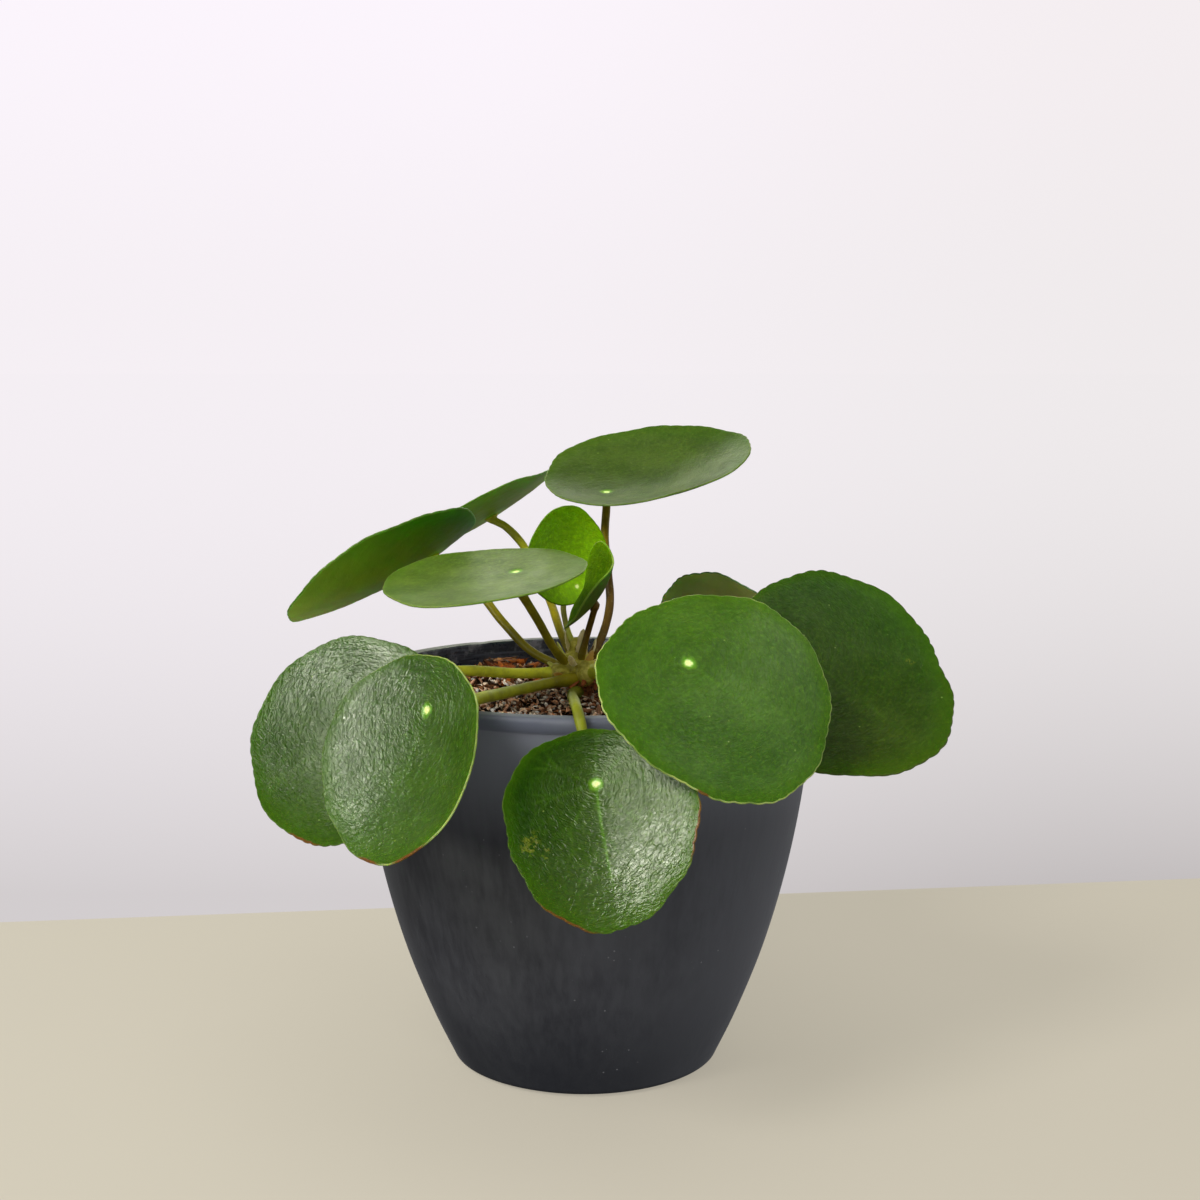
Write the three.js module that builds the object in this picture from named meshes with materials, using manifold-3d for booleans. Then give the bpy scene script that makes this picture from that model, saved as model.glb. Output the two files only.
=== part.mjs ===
// A potted pilea: twelve round leaves on slim stalks, a short stem, potting mix and a plain pot.
// Millimetres, +Z up. The pot's axis is Z and its base stands on Z = 0. -Y is the front.
import * as THREE from 'three';
import { mergeVertices } from 'three/addons/utils/BufferGeometryUtils.js';
import Module from 'manifold-3d';

const wasm = await Module();
wasm.setup();

// Pot: [outer radius, height] up the wall, from the foot to the rim band
const POT_HEIGHT = 117;
const POT_WALL_OUTSIDE = [[40.5, 1], [46.5, 14], [54.5, 35], [61, 58.5], [65.5, 82], [67.5, 99.5], [69, 112.5]];
const POT_WALL_STEPS = 8;
const POT_SIDES = 48;
const RIM_RADIUS = 69.5;
const RIM_BAND_HEIGHT = 4;
const RIM_EDGE_ROUND = 1.5;
const RIM_INNER_RADIUS = 64;
const WALL_THICKNESS = 4;
const FLOOR_THICKNESS = 4;
const FOOT_RECESS = { inner: 20, outer: 34, depth: 1 };

// Potting mix
const SOIL_EDGE_HEIGHT = 108.5;
const SOIL_CENTRE_RISE = 2.5;
const SOIL_RINGS = 6;
const SOIL_SIDES = 36;
const BARK_HEAP = { x: -26, y: 33, rise: 4.5, width: 11 };
const CHIP_COUNT = 44;
const CHIP_SEED = 17;
const CHIP_FIELD_RADIUS = 57;
const STEM_CLEARING = 12;

// Gap kept between pieces that touch on the real plant
const SEAT = 0.3;

// Stem: a short woody trunk with swollen knots where the stalks leave it
const STEM_FOOT = [-1.5, -2, 103];
const STEM_RADIUS = 4.5;
const STEM_TOP = 119;
const KNOTS = [
  { at: [-2.5, -1, 119.5], size: [4.8, 4.6, 5] },
  { at: [1, -5, 117.5], size: [3.6, 3.6, 4.4] },
  { at: [-7.5, -3.5, 117.5], size: [3.4, 3, 3.2] },
  { at: [-2, -0.5, 124], size: [2.8, 2.8, 4] },
  { at: [2, 1.5, 118.5], size: [3.4, 3.4, 3.6] },
];
const STIPULES = [
  { root: [-1, -3, 123], tip: [-0.5, -4, 131], width: 4 },
  { root: [-5, -2.5, 121], tip: [-8, -3.5, 127], width: 3.5 },
  { root: [1.5, -1.5, 122], tip: [3, -2, 127.5], width: 3 },
  { root: [-4, 1, 123], tip: [-5.5, 1.5, 129.5], width: 3 },
];
const STIPULE_THICKNESS = 0.8;

// Leaves
const BLADE_THICKNESS = 0.8;
const BLADE_SIDES = 40;
const BLADE_RINGS = [0.3, 0.6, 0.85, 1];
const FOLD_ROUND = 2;
const STALK_SIDES = 8;
const STALK_STEP = 6.5;

// One leaf:
//   joint   where its stalk meets the blade
//   tilt    degrees from level, lean the way it tips: 0 is the front, 90 the right
//   turn    degrees from the downhill line round to the leaf's tip
//   radius  of the blade, offset from the joint to the blade's middle
//   droop   how far the blade falls over one radius: along the midrib and across it
//   fold    how far its halves rise from the midrib over one radius, where it is folded
//   oval    extra length and its direction in degrees, egg the same with one blunt end
//   scallop depth and count of the waves in the outline, ruffle height and count across it
//   stalk   its radius, its last straight rise to the blade, and its way there from the stem
const LEAVES = [
  {
    name: '01',
    joint: [6.5, 29, 169], tilt: 20, lean: -30, turn: 142,
    radius: 32.5, offset: 15, droop: [-6.5, -7.5], oval: [0.5, -38], egg: [0.5, -12],
    scallop: [0.2, 11], ruffle: [0.3, 5],
    stalkRadius: 1.3, stalkRise: 4,
    stalkPath: [
      [0, -1, 119], [2.5, -1, 123], [5.5, 3.5, 128.5], [7.5, 9, 136.5],
      [7, 15, 145.5], [6, 22, 156],
    ],
  },
  {
    name: '02',
    joint: [-31.5, 55.5, 159.5], tilt: 30, lean: -107, turn: -3,
    radius: 32.5, offset: 8, droop: [-3.5, -4.5], oval: [0, 0], egg: [0, 0],
    scallop: [0.2, 11], ruffle: [0.3, 6],
    stalkRadius: 1.3, stalkRise: 1,
    stalkPath: [
      [-3, 1.5, 120.5], [-5, 4.5, 123.5], [-7, 9, 126.5], [-11, 24, 135],
      [-16, 38, 143.5], [-21, 48, 151], [-26.5, 53, 156],
    ],
  },
  {
    name: '03',
    joint: [-47, 12, 151], tilt: 33, lean: -114, turn: 39,
    radius: 32, offset: 15.5, droop: [-4, -9], oval: [0, 0], egg: [1, 34],
    scallop: [0.2, 11], ruffle: [0.3, 5],
    stalkRadius: 1.3, stalkRise: 4,
    stalkPath: [
      [-5.5, -0.5, 117.5], [-9.5, 1, 119.5], [-17, 3, 123.5], [-25, 5.5, 131.5],
      [-35, 9, 143],
    ],
  },
  {
    name: '04',
    joint: [-19, -34, 151.5], tilt: 10, lean: -34, turn: -18,
    radius: 28.5, offset: 10, droop: [-1, -2.5], oval: [0, 0], egg: [0.5, -54],
    scallop: [0.2, 10], ruffle: [0.2, 5],
    stalkRadius: 1.3, stalkRise: 4,
    stalkPath: [
      [-3.5, -2, 119], [-6.5, -4, 121.5], [-9.5, -9.5, 126.5], [-13.5, -18, 135.5],
      [-17, -26, 143],
    ],
  },
  {
    name: '05',
    joint: [-2.5, 3, 142.5], tilt: 86, lean: 36, turn: 199,
    radius: 15, offset: 10, droop: [-4.5, -2.5], oval: [0, 0], egg: [0.5, -8],
    scallop: [0.1, 8], ruffle: [0.1, 4],
    stalkRadius: 0.9, stalkRise: 4,
    stalkPath: [
      [-2, -0.5, 123.5], [-4.5, 1.5, 127.5], [-6, 4, 132], [-6.5, 6, 137],
    ],
  },
  {
    name: '06',
    joint: [2, -12.5, 139.5], tilt: 62, lean: -80, turn: 151,
    radius: 12, offset: 4.5, droop: [-2, -1.5], fold: 5, oval: [1.5, 30], egg: [1.5, -60],
    scallop: [0.1, 7], ruffle: [0.1, 4],
    stalkRadius: 1, stalkRise: 0.5,
    stalkPath: [
      [-1.5, -3, 120.5], [-0.5, -5.5, 125], [1.2, -8, 131.5], [2.4, -10.5, 136],
    ],
  },
  {
    name: '07',
    joint: [-61.5, -47.5, 118], tilt: 60, lean: -22, turn: 1,
    radius: 30, offset: 11, droop: [1.5, -3], oval: [0, 0], egg: [1, -26],
    scallop: [0.3, 9], ruffle: [0.4, 5],
    stalkRadius: 1.6, stalkRise: 3,
    stalkPath: [
      [-6.5, -3.5, 117.8], [-13.5, -4, 117.5], [-21, -10, 118.5], [-35.5, -22.5, 121.5],
      [-48, -33, 122], [-54.5, -39, 121],
    ],
  },
  {
    name: '08',
    joint: [-40.5, -72.5, 120], tilt: 60, lean: -44, turn: 0,
    radius: 28.5, offset: 14, droop: [-4, -5], oval: [2, 52], egg: [0.5, 32],
    scallop: [0.2, 10], ruffle: [0.3, 5],
    stalkRadius: 1.7, stalkRise: 3,
    stalkPath: [
      [-3, -5, 115.8], [-8.5, -10.5, 116], [-14, -19.5, 116.5], [-24.5, -40, 117.8],
      [-28, -52, 119.2], [-32, -63, 119.4],
    ],
  },
  {
    name: '09',
    joint: [3.5, -92, 105], tilt: 62, lean: -14, turn: 16,
    radius: 25.5, offset: 10, droop: [5, 0], fold: 4.5, oval: [1, 17], egg: [1, -24],
    scallop: [0.3, 11], ruffle: [0.3, 5],
    stalkRadius: 1.5, stalkRise: 2.5,
    stalkPath: [
      [-2, -5, 112], [-3.5, -12, 113], [-3.5, -25, 114.5], [-2.5, -45, 117],
      [-2, -62, 119.2], [-1.5, -69, 119.5], [-0.5, -73.5, 116.5], [1, -77.5, 111],
      [3.5, -84, 105],
    ],
  },
  {
    name: '10',
    joint: [27, -82, 134], tilt: 50, lean: 20, turn: 35,
    radius: 31, offset: 10.5, droop: [5, -0.5], oval: [0.5, 46], egg: [0.5, -15],
    scallop: [0.3, 11], ruffle: [0.3, 6],
    stalkRadius: 1.6, stalkRise: 4,
    stalkPath: [
      [1, -5, 118], [7.5, -17, 118.5], [16, -37, 120.5], [23, -56, 125.5],
    ],
  },
  {
    name: '11',
    joint: [60, -38.5, 130.5], tilt: 45, lean: 13, turn: 35,
    radius: 34, offset: 13, droop: [-5, -2.5], oval: [0.5, -53], egg: [1.5, 2],
    scallop: [0.3, 11], ruffle: [0.4, 6],
    stalkRadius: 1.5, stalkRise: 4,
    stalkPath: [
      [3.5, 0.5, 117], [18, -6, 118], [38, -15.5, 120.5], [52, -26, 124],
    ],
  },
  {
    name: '12',
    joint: [45, 51, 126], tilt: 63, lean: 141, turn: -12,
    radius: 27.5, offset: 8.5, droop: [2, 3], oval: [0, 0], egg: [0, 0],
    scallop: [0.3, 11], ruffle: [0.3, 6],
    stalkRadius: 1.4, stalkRise: 4,
    stalkPath: [
      [2, 3, 119.8], [11, 13, 118.5], [25, 29, 119], [36, 42, 121.5],
    ],
  },
];

const COLOURS = {
  pot: 0x34353c,
  soil: 0x4b372b,
  stem: 0x8a7a4a,
  stalk: 0x7d8a3a,
  blade: 0x2f6a22,
  youngBlade: 0x3f8f14,
};

const degrees = Math.PI / 180;
const vector = (point) => new THREE.Vector3(...point);

// Repeatable random numbers from 0 to 1
function seededDraws(seed) {
  let state = seed;
  return () => {
    state = (state * 1664525 + 1013904223) % 4294967296;
    return state / 4294967296;
  };
}

function material(colour, roughness) {
  return new THREE.MeshStandardMaterial({ color: colour, roughness, metalness: 0 });
}

// Joining and cutting closed solids
function toSolid(geometry) {
  const plain = geometry.clone();
  plain.deleteAttribute('normal');
  plain.deleteAttribute('uv');
  const merged = mergeVertices(plain, 1e-4);
  return new wasm.Manifold(new wasm.Mesh({
    numProp: 3,
    vertProperties: new Float32Array(merged.attributes.position.array),
    triVerts: new Uint32Array(merged.index.array),
  }));
}

function toGeometry(solid) {
  const mesh = solid.getMesh();
  const geometry = new THREE.BufferGeometry();
  geometry.setAttribute('position', new THREE.BufferAttribute(new Float32Array(mesh.vertProperties), 3));
  geometry.setIndex(new THREE.BufferAttribute(new Uint32Array(mesh.triVerts), 1));
  geometry.computeVertexNormals();
  return geometry;
}

// A lathe turned about Z: profile points are [radius, height], in order up the outside
function turned(profile, sides) {
  const geometry = new THREE.LatheGeometry(profile.map(([r, z]) => new THREE.Vector2(r, z)), sides);
  return geometry.rotateX(Math.PI / 2);
}

// Pot
function wallCurve() {
  return new THREE.SplineCurve(POT_WALL_OUTSIDE.map(([r, z]) => new THREE.Vector2(r, z)));
}

function potProfile() {
  const wall = wallCurve().getPoints(POT_WALL_STEPS).map((p) => [p.x, p.y]);
  const innerWall = wall
    .filter(([, z]) => z > FLOOR_THICKNESS + 2 && z < POT_HEIGHT - 12)
    .map(([r, z]) => [r - WALL_THICKNESS, z])
    .reverse();
  const roundSteps = [0, 1, 2, 3];
  const outerRound = roundSteps.map((k) => {
    const a = (k / 3) * Math.PI / 2;
    return [
      RIM_RADIUS - RIM_EDGE_ROUND * (1 - Math.cos(a)),
      POT_HEIGHT - RIM_EDGE_ROUND * (1 - Math.sin(a)),
    ];
  });
  return [
    [0, 0],
    [FOOT_RECESS.inner, 0],
    [FOOT_RECESS.inner, FOOT_RECESS.depth],
    [FOOT_RECESS.outer, FOOT_RECESS.depth],
    [FOOT_RECESS.outer, 0],
    [POT_WALL_OUTSIDE[0][0] - 1, 0],
    ...wall,
    [RIM_RADIUS, POT_HEIGHT - RIM_BAND_HEIGHT],
    ...outerRound,
    [RIM_INNER_RADIUS + 1, POT_HEIGHT],
    [RIM_INNER_RADIUS, POT_HEIGHT - 1],
    ...innerWall,
    [POT_WALL_OUTSIDE[0][0] - WALL_THICKNESS, FLOOR_THICKNESS],
    [0, FLOOR_THICKNESS],
  ];
}

function makePot() {
  return new THREE.Mesh(turned(potProfile(), POT_SIDES), material(COLOURS.pot, 0.55));
}

// Potting mix: fills the pot to a little under the rim, with a low heap of bark at the back left
function soilHeight(x, y) {
  const r = Math.hypot(x, y);
  const heap = Math.hypot(x - BARK_HEAP.x, y - BARK_HEAP.y);
  const ripple = 0.6 * Math.sin(0.31 * x + 0.12 * y) + 0.5 * Math.cos(0.27 * y - 0.17 * x);
  return SOIL_EDGE_HEIGHT
    + SOIL_CENTRE_RISE * Math.exp(-((r / 26) ** 2))
    + BARK_HEAP.rise * Math.exp(-((heap / BARK_HEAP.width) ** 2))
    + ripple;
}

function soilBody() {
  const wall = wallCurve().getPoints(POT_WALL_STEPS).map((p) => [p.x, p.y]);
  const inset = WALL_THICKNESS + SEAT;
  const side = wall
    .filter(([, z]) => z > FLOOR_THICKNESS + 2 && z < SOIL_EDGE_HEIGHT - 6)
    .map(([r, z]) => [r - inset - 0.1, z]);
  const edge = RIM_INNER_RADIUS - 1.5;
  const top = [];
  for (let ring = SOIL_RINGS; ring >= 0; ring -= 1) {
    top.push([edge * (ring / SOIL_RINGS), POT_HEIGHT]);
  }
  const foot = POT_WALL_OUTSIDE[0][0] - inset;
  const profile = [[0, FLOOR_THICKNESS + SEAT], [foot, FLOOR_THICKNESS + SEAT], ...side, ...top];
  const geometry = turned(profile, SOIL_SIDES);
  const position = geometry.attributes.position;
  for (let i = 0; i < position.count; i += 1) {
    if (position.getZ(i) > POT_HEIGHT - 0.01) {
      position.setZ(i, soilHeight(position.getX(i), position.getY(i)));
    }
  }
  return geometry;
}

function soilChips() {
  const draw = seededDraws(CHIP_SEED);
  const chips = [];
  while (chips.length < CHIP_COUNT) {
    const r = CHIP_FIELD_RADIUS * Math.sqrt(draw());
    const angle = 2 * Math.PI * draw();
    const size = [3 + 5 * draw(), 2 + 2.5 * draw(), 1.5 + 1.5 * draw()];
    const spin = [0.7 * (draw() - 0.5), 0.7 * (draw() - 0.5), 2 * Math.PI * draw()];
    if (r > STEM_CLEARING) {
      const x = r * Math.cos(angle);
      const y = r * Math.sin(angle);
      const chip = new THREE.BoxGeometry(...size);
      const turn = new THREE.Matrix4().makeRotationFromEuler(new THREE.Euler(...spin));
      chip.applyMatrix4(turn);
      chip.translate(x, y, soilHeight(x, y));
      chips.push(chip);
    }
  }
  return chips;
}

function makeSoil(stem) {
  let solid = toSolid(soilBody());
  for (const chip of soilChips()) {
    solid = solid.add(toSolid(chip));
  }
  const hole = new THREE.CylinderGeometry(STEM_RADIUS + 0.5, STEM_RADIUS + 0.5, 30, 12);
  hole.rotateX(Math.PI / 2).translate(STEM_FOOT[0], STEM_FOOT[1], STEM_FOOT[2] - SEAT + 15);
  solid = solid.subtract(toSolid(hole));
  return new THREE.Mesh(toGeometry(solid), material(COLOURS.soil, 0.95));
}

// Leaf frame: the blade's normal, the way from its joint to its tip, and the way across
function leafFrame(leaf) {
  const tilt = leaf.tilt * degrees;
  const lean = leaf.lean * degrees;
  const turn = leaf.turn * degrees;
  const normal = new THREE.Vector3(
    Math.sin(tilt) * Math.sin(lean),
    -Math.sin(tilt) * Math.cos(lean),
    Math.cos(tilt),
  );
  const downhill = new THREE.Vector3(
    Math.cos(tilt) * Math.sin(lean),
    -Math.cos(tilt) * Math.cos(lean),
    -Math.sin(tilt),
  );
  const side = new THREE.Vector3().crossVectors(normal, downhill);
  const along = downhill.multiplyScalar(Math.cos(turn)).addScaledVector(side, Math.sin(turn));
  const across = new THREE.Vector3().crossVectors(normal, along);
  return { normal, along, across };
}

// A point of the blade's middle layer: share 0 is the joint and 1 the outline
function bladePoint(leaf, frame, share, angle) {
  const phase = Number(leaf.name);
  const reach = leaf.radius
    + leaf.oval[0] * Math.cos(2 * (angle - leaf.oval[1] * degrees))
    + leaf.egg[0] * Math.cos(3 * (angle - leaf.egg[1] * degrees))
    + leaf.scallop[0] * Math.cos(leaf.scallop[1] * angle + phase);
  const u = share * (leaf.offset + reach * Math.cos(angle));
  const v = share * reach * Math.sin(angle);
  const [fallAlong, fallAcross] = leaf.droop;
  const r2 = leaf.radius ** 2;
  const fall = fallAlong * ((u - leaf.offset) ** 2 - leaf.offset ** 2) / r2 + fallAcross * v ** 2 / r2;
  const fold = (leaf.fold ?? 0) * (Math.hypot(v, FOLD_ROUND) - FOLD_ROUND) / leaf.radius;
  const ruffle = leaf.ruffle[0] * share ** 3 * Math.cos(leaf.ruffle[1] * angle + 2 * phase);
  return vector(leaf.joint)
    .addScaledVector(frame.along, u)
    .addScaledVector(frame.across, v)
    .addScaledVector(frame.normal, ruffle + fold - fall);
}

// The blade's own normal there, from two short steps
function bladeNormal(leaf, frame, share, angle) {
  const step = 0.02;
  const here = bladePoint(leaf, frame, share, angle);
  if (share === 0) {
    const ahead = bladePoint(leaf, frame, step, 0).sub(here);
    const beside = bladePoint(leaf, frame, step, Math.PI / 2).sub(here);
    return ahead.cross(beside).normalize();
  }
  const outward = here.clone().sub(bladePoint(leaf, frame, share - step, angle));
  const round = bladePoint(leaf, frame, share, angle + step).sub(bladePoint(leaf, frame, share, angle - step));
  return outward.cross(round).normalize();
}

// Blade: one grid of rings for the top face, the same grid below it, and a band round the edge
function makeBlade(leaf) {
  const frame = leafFrame(leaf);
  const half = BLADE_THICKNESS / 2;
  const points = [];
  const addLayer = (side) => {
    const centre = bladeNormal(leaf, frame, 0, 0).multiplyScalar(side * half);
    points.push(bladePoint(leaf, frame, 0, 0).add(centre));
    for (const share of BLADE_RINGS) {
      for (let k = 0; k < BLADE_SIDES; k += 1) {
        const angle = 2 * Math.PI * k / BLADE_SIDES;
        const lift = bladeNormal(leaf, frame, share, angle).multiplyScalar(side * half);
        points.push(bladePoint(leaf, frame, share, angle).add(lift));
      }
    }
  };
  addLayer(1);
  addLayer(-1);

  const layerSize = 1 + BLADE_RINGS.length * BLADE_SIDES;
  const at = (layer, ring, k) => layer * layerSize + 1 + ring * BLADE_SIDES + (k % BLADE_SIDES);
  const faces = [];
  const addFace = (layer, a, b, c) => faces.push(...(layer === 0 ? [a, b, c] : [a, c, b]));
  for (const layer of [0, 1]) {
    for (let k = 0; k < BLADE_SIDES; k += 1) {
      addFace(layer, layer * layerSize, at(layer, 0, k), at(layer, 0, k + 1));
      for (let ring = 0; ring + 1 < BLADE_RINGS.length; ring += 1) {
        addFace(layer, at(layer, ring, k), at(layer, ring + 1, k), at(layer, ring + 1, k + 1));
        addFace(layer, at(layer, ring, k), at(layer, ring + 1, k + 1), at(layer, ring, k + 1));
      }
    }
  }
  const rim = BLADE_RINGS.length - 1;
  for (let k = 0; k < BLADE_SIDES; k += 1) {
    faces.push(at(0, rim, k), at(1, rim, k), at(1, rim, k + 1));
    faces.push(at(0, rim, k), at(1, rim, k + 1), at(0, rim, k + 1));
  }

  const geometry = new THREE.BufferGeometry().setFromPoints(points);
  geometry.setIndex(faces);
  geometry.computeVertexNormals();
  const colour = leaf.radius < 20 ? COLOURS.youngBlade : COLOURS.blade;
  return new THREE.Mesh(geometry, material(colour, 0.4));
}

// Stalk: a round tube from inside the stem to just under the blade, which it meets square on
function stalkCurve(leaf) {
  const frame = leafFrame(leaf);
  const down = bladeNormal(leaf, frame, 0, 0).negate();
  const end = vector(leaf.joint).addScaledVector(down, BLADE_THICKNESS / 2 + SEAT);
  const before = end.clone().addScaledVector(down, leaf.stalkRise);
  const points = [...leaf.stalkPath.map(vector), before, end];
  return new THREE.CatmullRomCurve3(points, false, 'centripetal');
}

function tube(curve, radius, steps) {
  const section = new THREE.Shape();
  for (let k = 0; k < STALK_SIDES; k += 1) {
    const angle = 2 * Math.PI * k / STALK_SIDES;
    const x = radius * Math.cos(angle);
    const y = radius * Math.sin(angle);
    if (k === 0) {
      section.moveTo(x, y);
    } else {
      section.lineTo(x, y);
    }
  }
  section.closePath();
  return new THREE.ExtrudeGeometry(section, { steps, bevelEnabled: false, extrudePath: curve });
}

function stalkSteps(leaf) {
  return Math.max(6, Math.round(stalkCurve(leaf).getLength() / STALK_STEP));
}

function makeStalk(leaf) {
  const solid = tube(stalkCurve(leaf), leaf.stalkRadius, stalkSteps(leaf));
  return new THREE.Mesh(solid, material(COLOURS.stalk, 0.5));
}

// Stem: the trunk and knots in one piece, with papery stipules and a socket for every stalk
function stipuleCone(stipule) {
  const root = vector(stipule.root);
  const tip = vector(stipule.tip);
  const length = root.distanceTo(tip);
  const cone = new THREE.ConeGeometry(stipule.width / 2, length, 6);
  cone.scale(1, 1, STIPULE_THICKNESS / stipule.width * 1.6);
  cone.translate(0, length / 2, 0);
  const up = new THREE.Vector3(0, 1, 0);
  const aim = new THREE.Quaternion().setFromUnitVectors(up, tip.clone().sub(root).normalize());
  return cone.applyQuaternion(aim).translate(root.x, root.y, root.z);
}

// The room a stalk needs: its own tube a little wider, with a ball round its buried end
function stalkSocket(leaf) {
  const room = leaf.stalkRadius + SEAT + 0.1;
  const ball = new THREE.SphereGeometry(room + 0.1, 7, 4);
  ball.translate(...leaf.stalkPath[0]);
  return toSolid(tube(stalkCurve(leaf), room, stalkSteps(leaf))).add(toSolid(ball));
}

function makeStem() {
  const height = STEM_TOP - STEM_FOOT[2];
  const trunk = new THREE.CylinderGeometry(STEM_RADIUS * 0.85, STEM_RADIUS, height, 12);
  trunk.rotateX(Math.PI / 2).translate(STEM_FOOT[0], STEM_FOOT[1], STEM_FOOT[2] + height / 2);
  let solid = toSolid(trunk);
  for (const knot of KNOTS) {
    const ball = new THREE.SphereGeometry(1, 9, 6);
    ball.scale(...knot.size).translate(...knot.at);
    solid = solid.add(toSolid(ball));
  }
  for (const stipule of STIPULES) {
    solid = solid.add(toSolid(stipuleCone(stipule)));
  }
  for (const leaf of LEAVES) {
    solid = solid.subtract(stalkSocket(leaf));
  }
  solid = solid.simplify(0.1);
  const pieces = solid.decompose().sort((a, b) => b.volume() - a.volume());
  return new THREE.Mesh(toGeometry(pieces[0]), material(COLOURS.stem, 0.8));
}

const plant = new THREE.Group();
function add(mesh, name) {
  mesh.name = name;
  plant.add(mesh);
}

add(makePot(), 'pot');
add(makeSoil(), 'potting_mix');
add(makeStem(), 'stem');
for (const leaf of LEAVES) {
  add(makeBlade(leaf), `leaf_${leaf.name}`);
  add(makeStalk(leaf), `stalk_${leaf.name}`);
}

export default plant;
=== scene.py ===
"""The looks of a potted pilea: twelve round waxy leaves on slim stalks in a plain dark pot.

Shapes are worked out in millimetres in the frame of the CAD part (+Z up, -Y the front) and turned into metres
when a mesh is made.
"""
import math

import bpy
import numpy as np
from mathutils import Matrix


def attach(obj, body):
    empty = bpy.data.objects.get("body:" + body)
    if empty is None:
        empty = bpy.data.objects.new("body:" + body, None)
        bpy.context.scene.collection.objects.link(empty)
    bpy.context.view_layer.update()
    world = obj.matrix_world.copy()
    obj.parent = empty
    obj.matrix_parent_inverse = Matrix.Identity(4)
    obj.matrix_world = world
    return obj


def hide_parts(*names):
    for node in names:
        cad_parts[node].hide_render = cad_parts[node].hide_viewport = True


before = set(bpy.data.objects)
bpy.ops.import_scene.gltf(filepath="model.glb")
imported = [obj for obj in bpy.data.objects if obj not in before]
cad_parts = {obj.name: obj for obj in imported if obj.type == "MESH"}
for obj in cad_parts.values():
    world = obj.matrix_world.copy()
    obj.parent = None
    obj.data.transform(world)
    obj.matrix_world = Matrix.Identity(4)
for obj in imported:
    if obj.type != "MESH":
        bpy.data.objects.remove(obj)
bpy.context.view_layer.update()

MM = 0.001

# Camera: its place, how far it looks down in degrees, its lens and sensor, nearest and farthest in metres
CAMERA_PLACE = (4.5, -526, 211.6)
CAMERA_DIP = 7.86
CAMERA_LENS = 53.16
CAMERA_SENSOR = 36
CAMERA_RANGE = (0.01, 100)

# Pot, the same wall as the solid's: (outer radius, height), with a nick in the rim at the back left
POT_HEIGHT = 117
POT_WALL = [(40.5, 1), (46.5, 14), (54.5, 35), (61, 58.5), (65.5, 82), (67.5, 99.5), (69, 112.5)]
POT_SIDES = 240
NICK_X = -35
NICK_HALF_WIDTH = 2.2
NICK_DEPTH = 0.25
POT_FOOT = [(0, 0), (20, 0), (20, 0.4), (20.5, 1), (33.5, 1), (34, 0.5), (34, 0), (38, 0), (39, 0.3)]
RIM_RADIUS = 69.5
RIM_BAND_HEIGHT = 4
RIM_INNER_RADIUS = 64
RIM_OUTER_ROUND = 1.5
RIM_INNER_ROUND = 0.8
WALL_THICKNESS = 4
FLOOR_THICKNESS = 4

# Potting mix: the height of its edge, its radius, and the middle of the bark heap
SOIL_EDGE = 108.5
SOIL_RADIUS = 62.5
SOIL_SIDES = 180
SOIL_RINGS = 62
HEAP_PLACE = (-26, 33)

# How high the soil rises at the stem and at the heap, and how wide
STEM_RISE = (2.5, 26)
HEAP_RISE = (4.5, 11)

# The gap that keeps touching pieces apart
SEAT = 0.3

# Leaves: half the blade's thickness at its middle and at its rim, the angles in degrees at which its edge is
# rounded, and the points on its rim. A leaf under the young radius is a young one, and under the full detail
# radius its low relief shrinks with it. Dry brown is the tint of worn edges.
HALF_MIDDLE = 0.4
HALF_RIM = 0.27
RIM_BENDS = (60, 30, 0, -30, -60)
BLADE_POINTS = 288
YOUNG_BLADE_POINTS = 144
YOUNG_RADIUS = 20
FULL_DETAIL_RADIUS = 28
DRY_BROWN = (0.16, 0.055, 0.012)
STALK_SIDES = 20

# One leaf, where the blade's directions are degrees round it from its tip:
#   joint   where its stalk meets the blade
#   tilt    degrees from level, lean the way it tips: 0 is the front, 90 the right
#   turn    degrees from the downhill line round to the leaf's tip
#   radius  of the blade, offset from the joint to the blade's middle
#   droop   how far the blade falls over one radius: along the midrib and across it
#   fold    how far its halves rise from the midrib over one radius, and how round its valley is
#   oval    extra length and its direction, egg the same with one blunt end
#   scallop depth and count of the waves in the outline, ruffle height and count across it
#   teeth   depth and count of the fine scallops
#   rim     how pale its edge is, from -1 dark to 1, and rim_swing how much paler toward rim_way; the pale edge is partly a painted highlight, and the swing is painted highlight on the side the light comes from
#   relief  how strong its low folds and wrinkles are, veins how strongly the veins show
#   tone_and_light  what its green is multiplied by, toward tone_and_light_way and away from it, gloss how
#   waxy it is there; on leaves 03, 09 and 11 the two tones differ as painted light and shade
#   stalk_radius, rise the stalk's last straight way up to the blade
#   stalk_tint from the stem, half way and at the blade, path the stalk's way there
PLAIN_LEAF = dict(
    oval=(0, 0), egg=(0, 0), fold=(0, 1), rim_swing=0, rim_way=0, relief=1, veins=0.06,
    tone_and_light=[(1, 1, 1)] * 2, gloss=(1, 1), tone_and_light_way=0, scallop=(0.3, 11), ruffle=(0.3, 5), rise=4,
)
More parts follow.
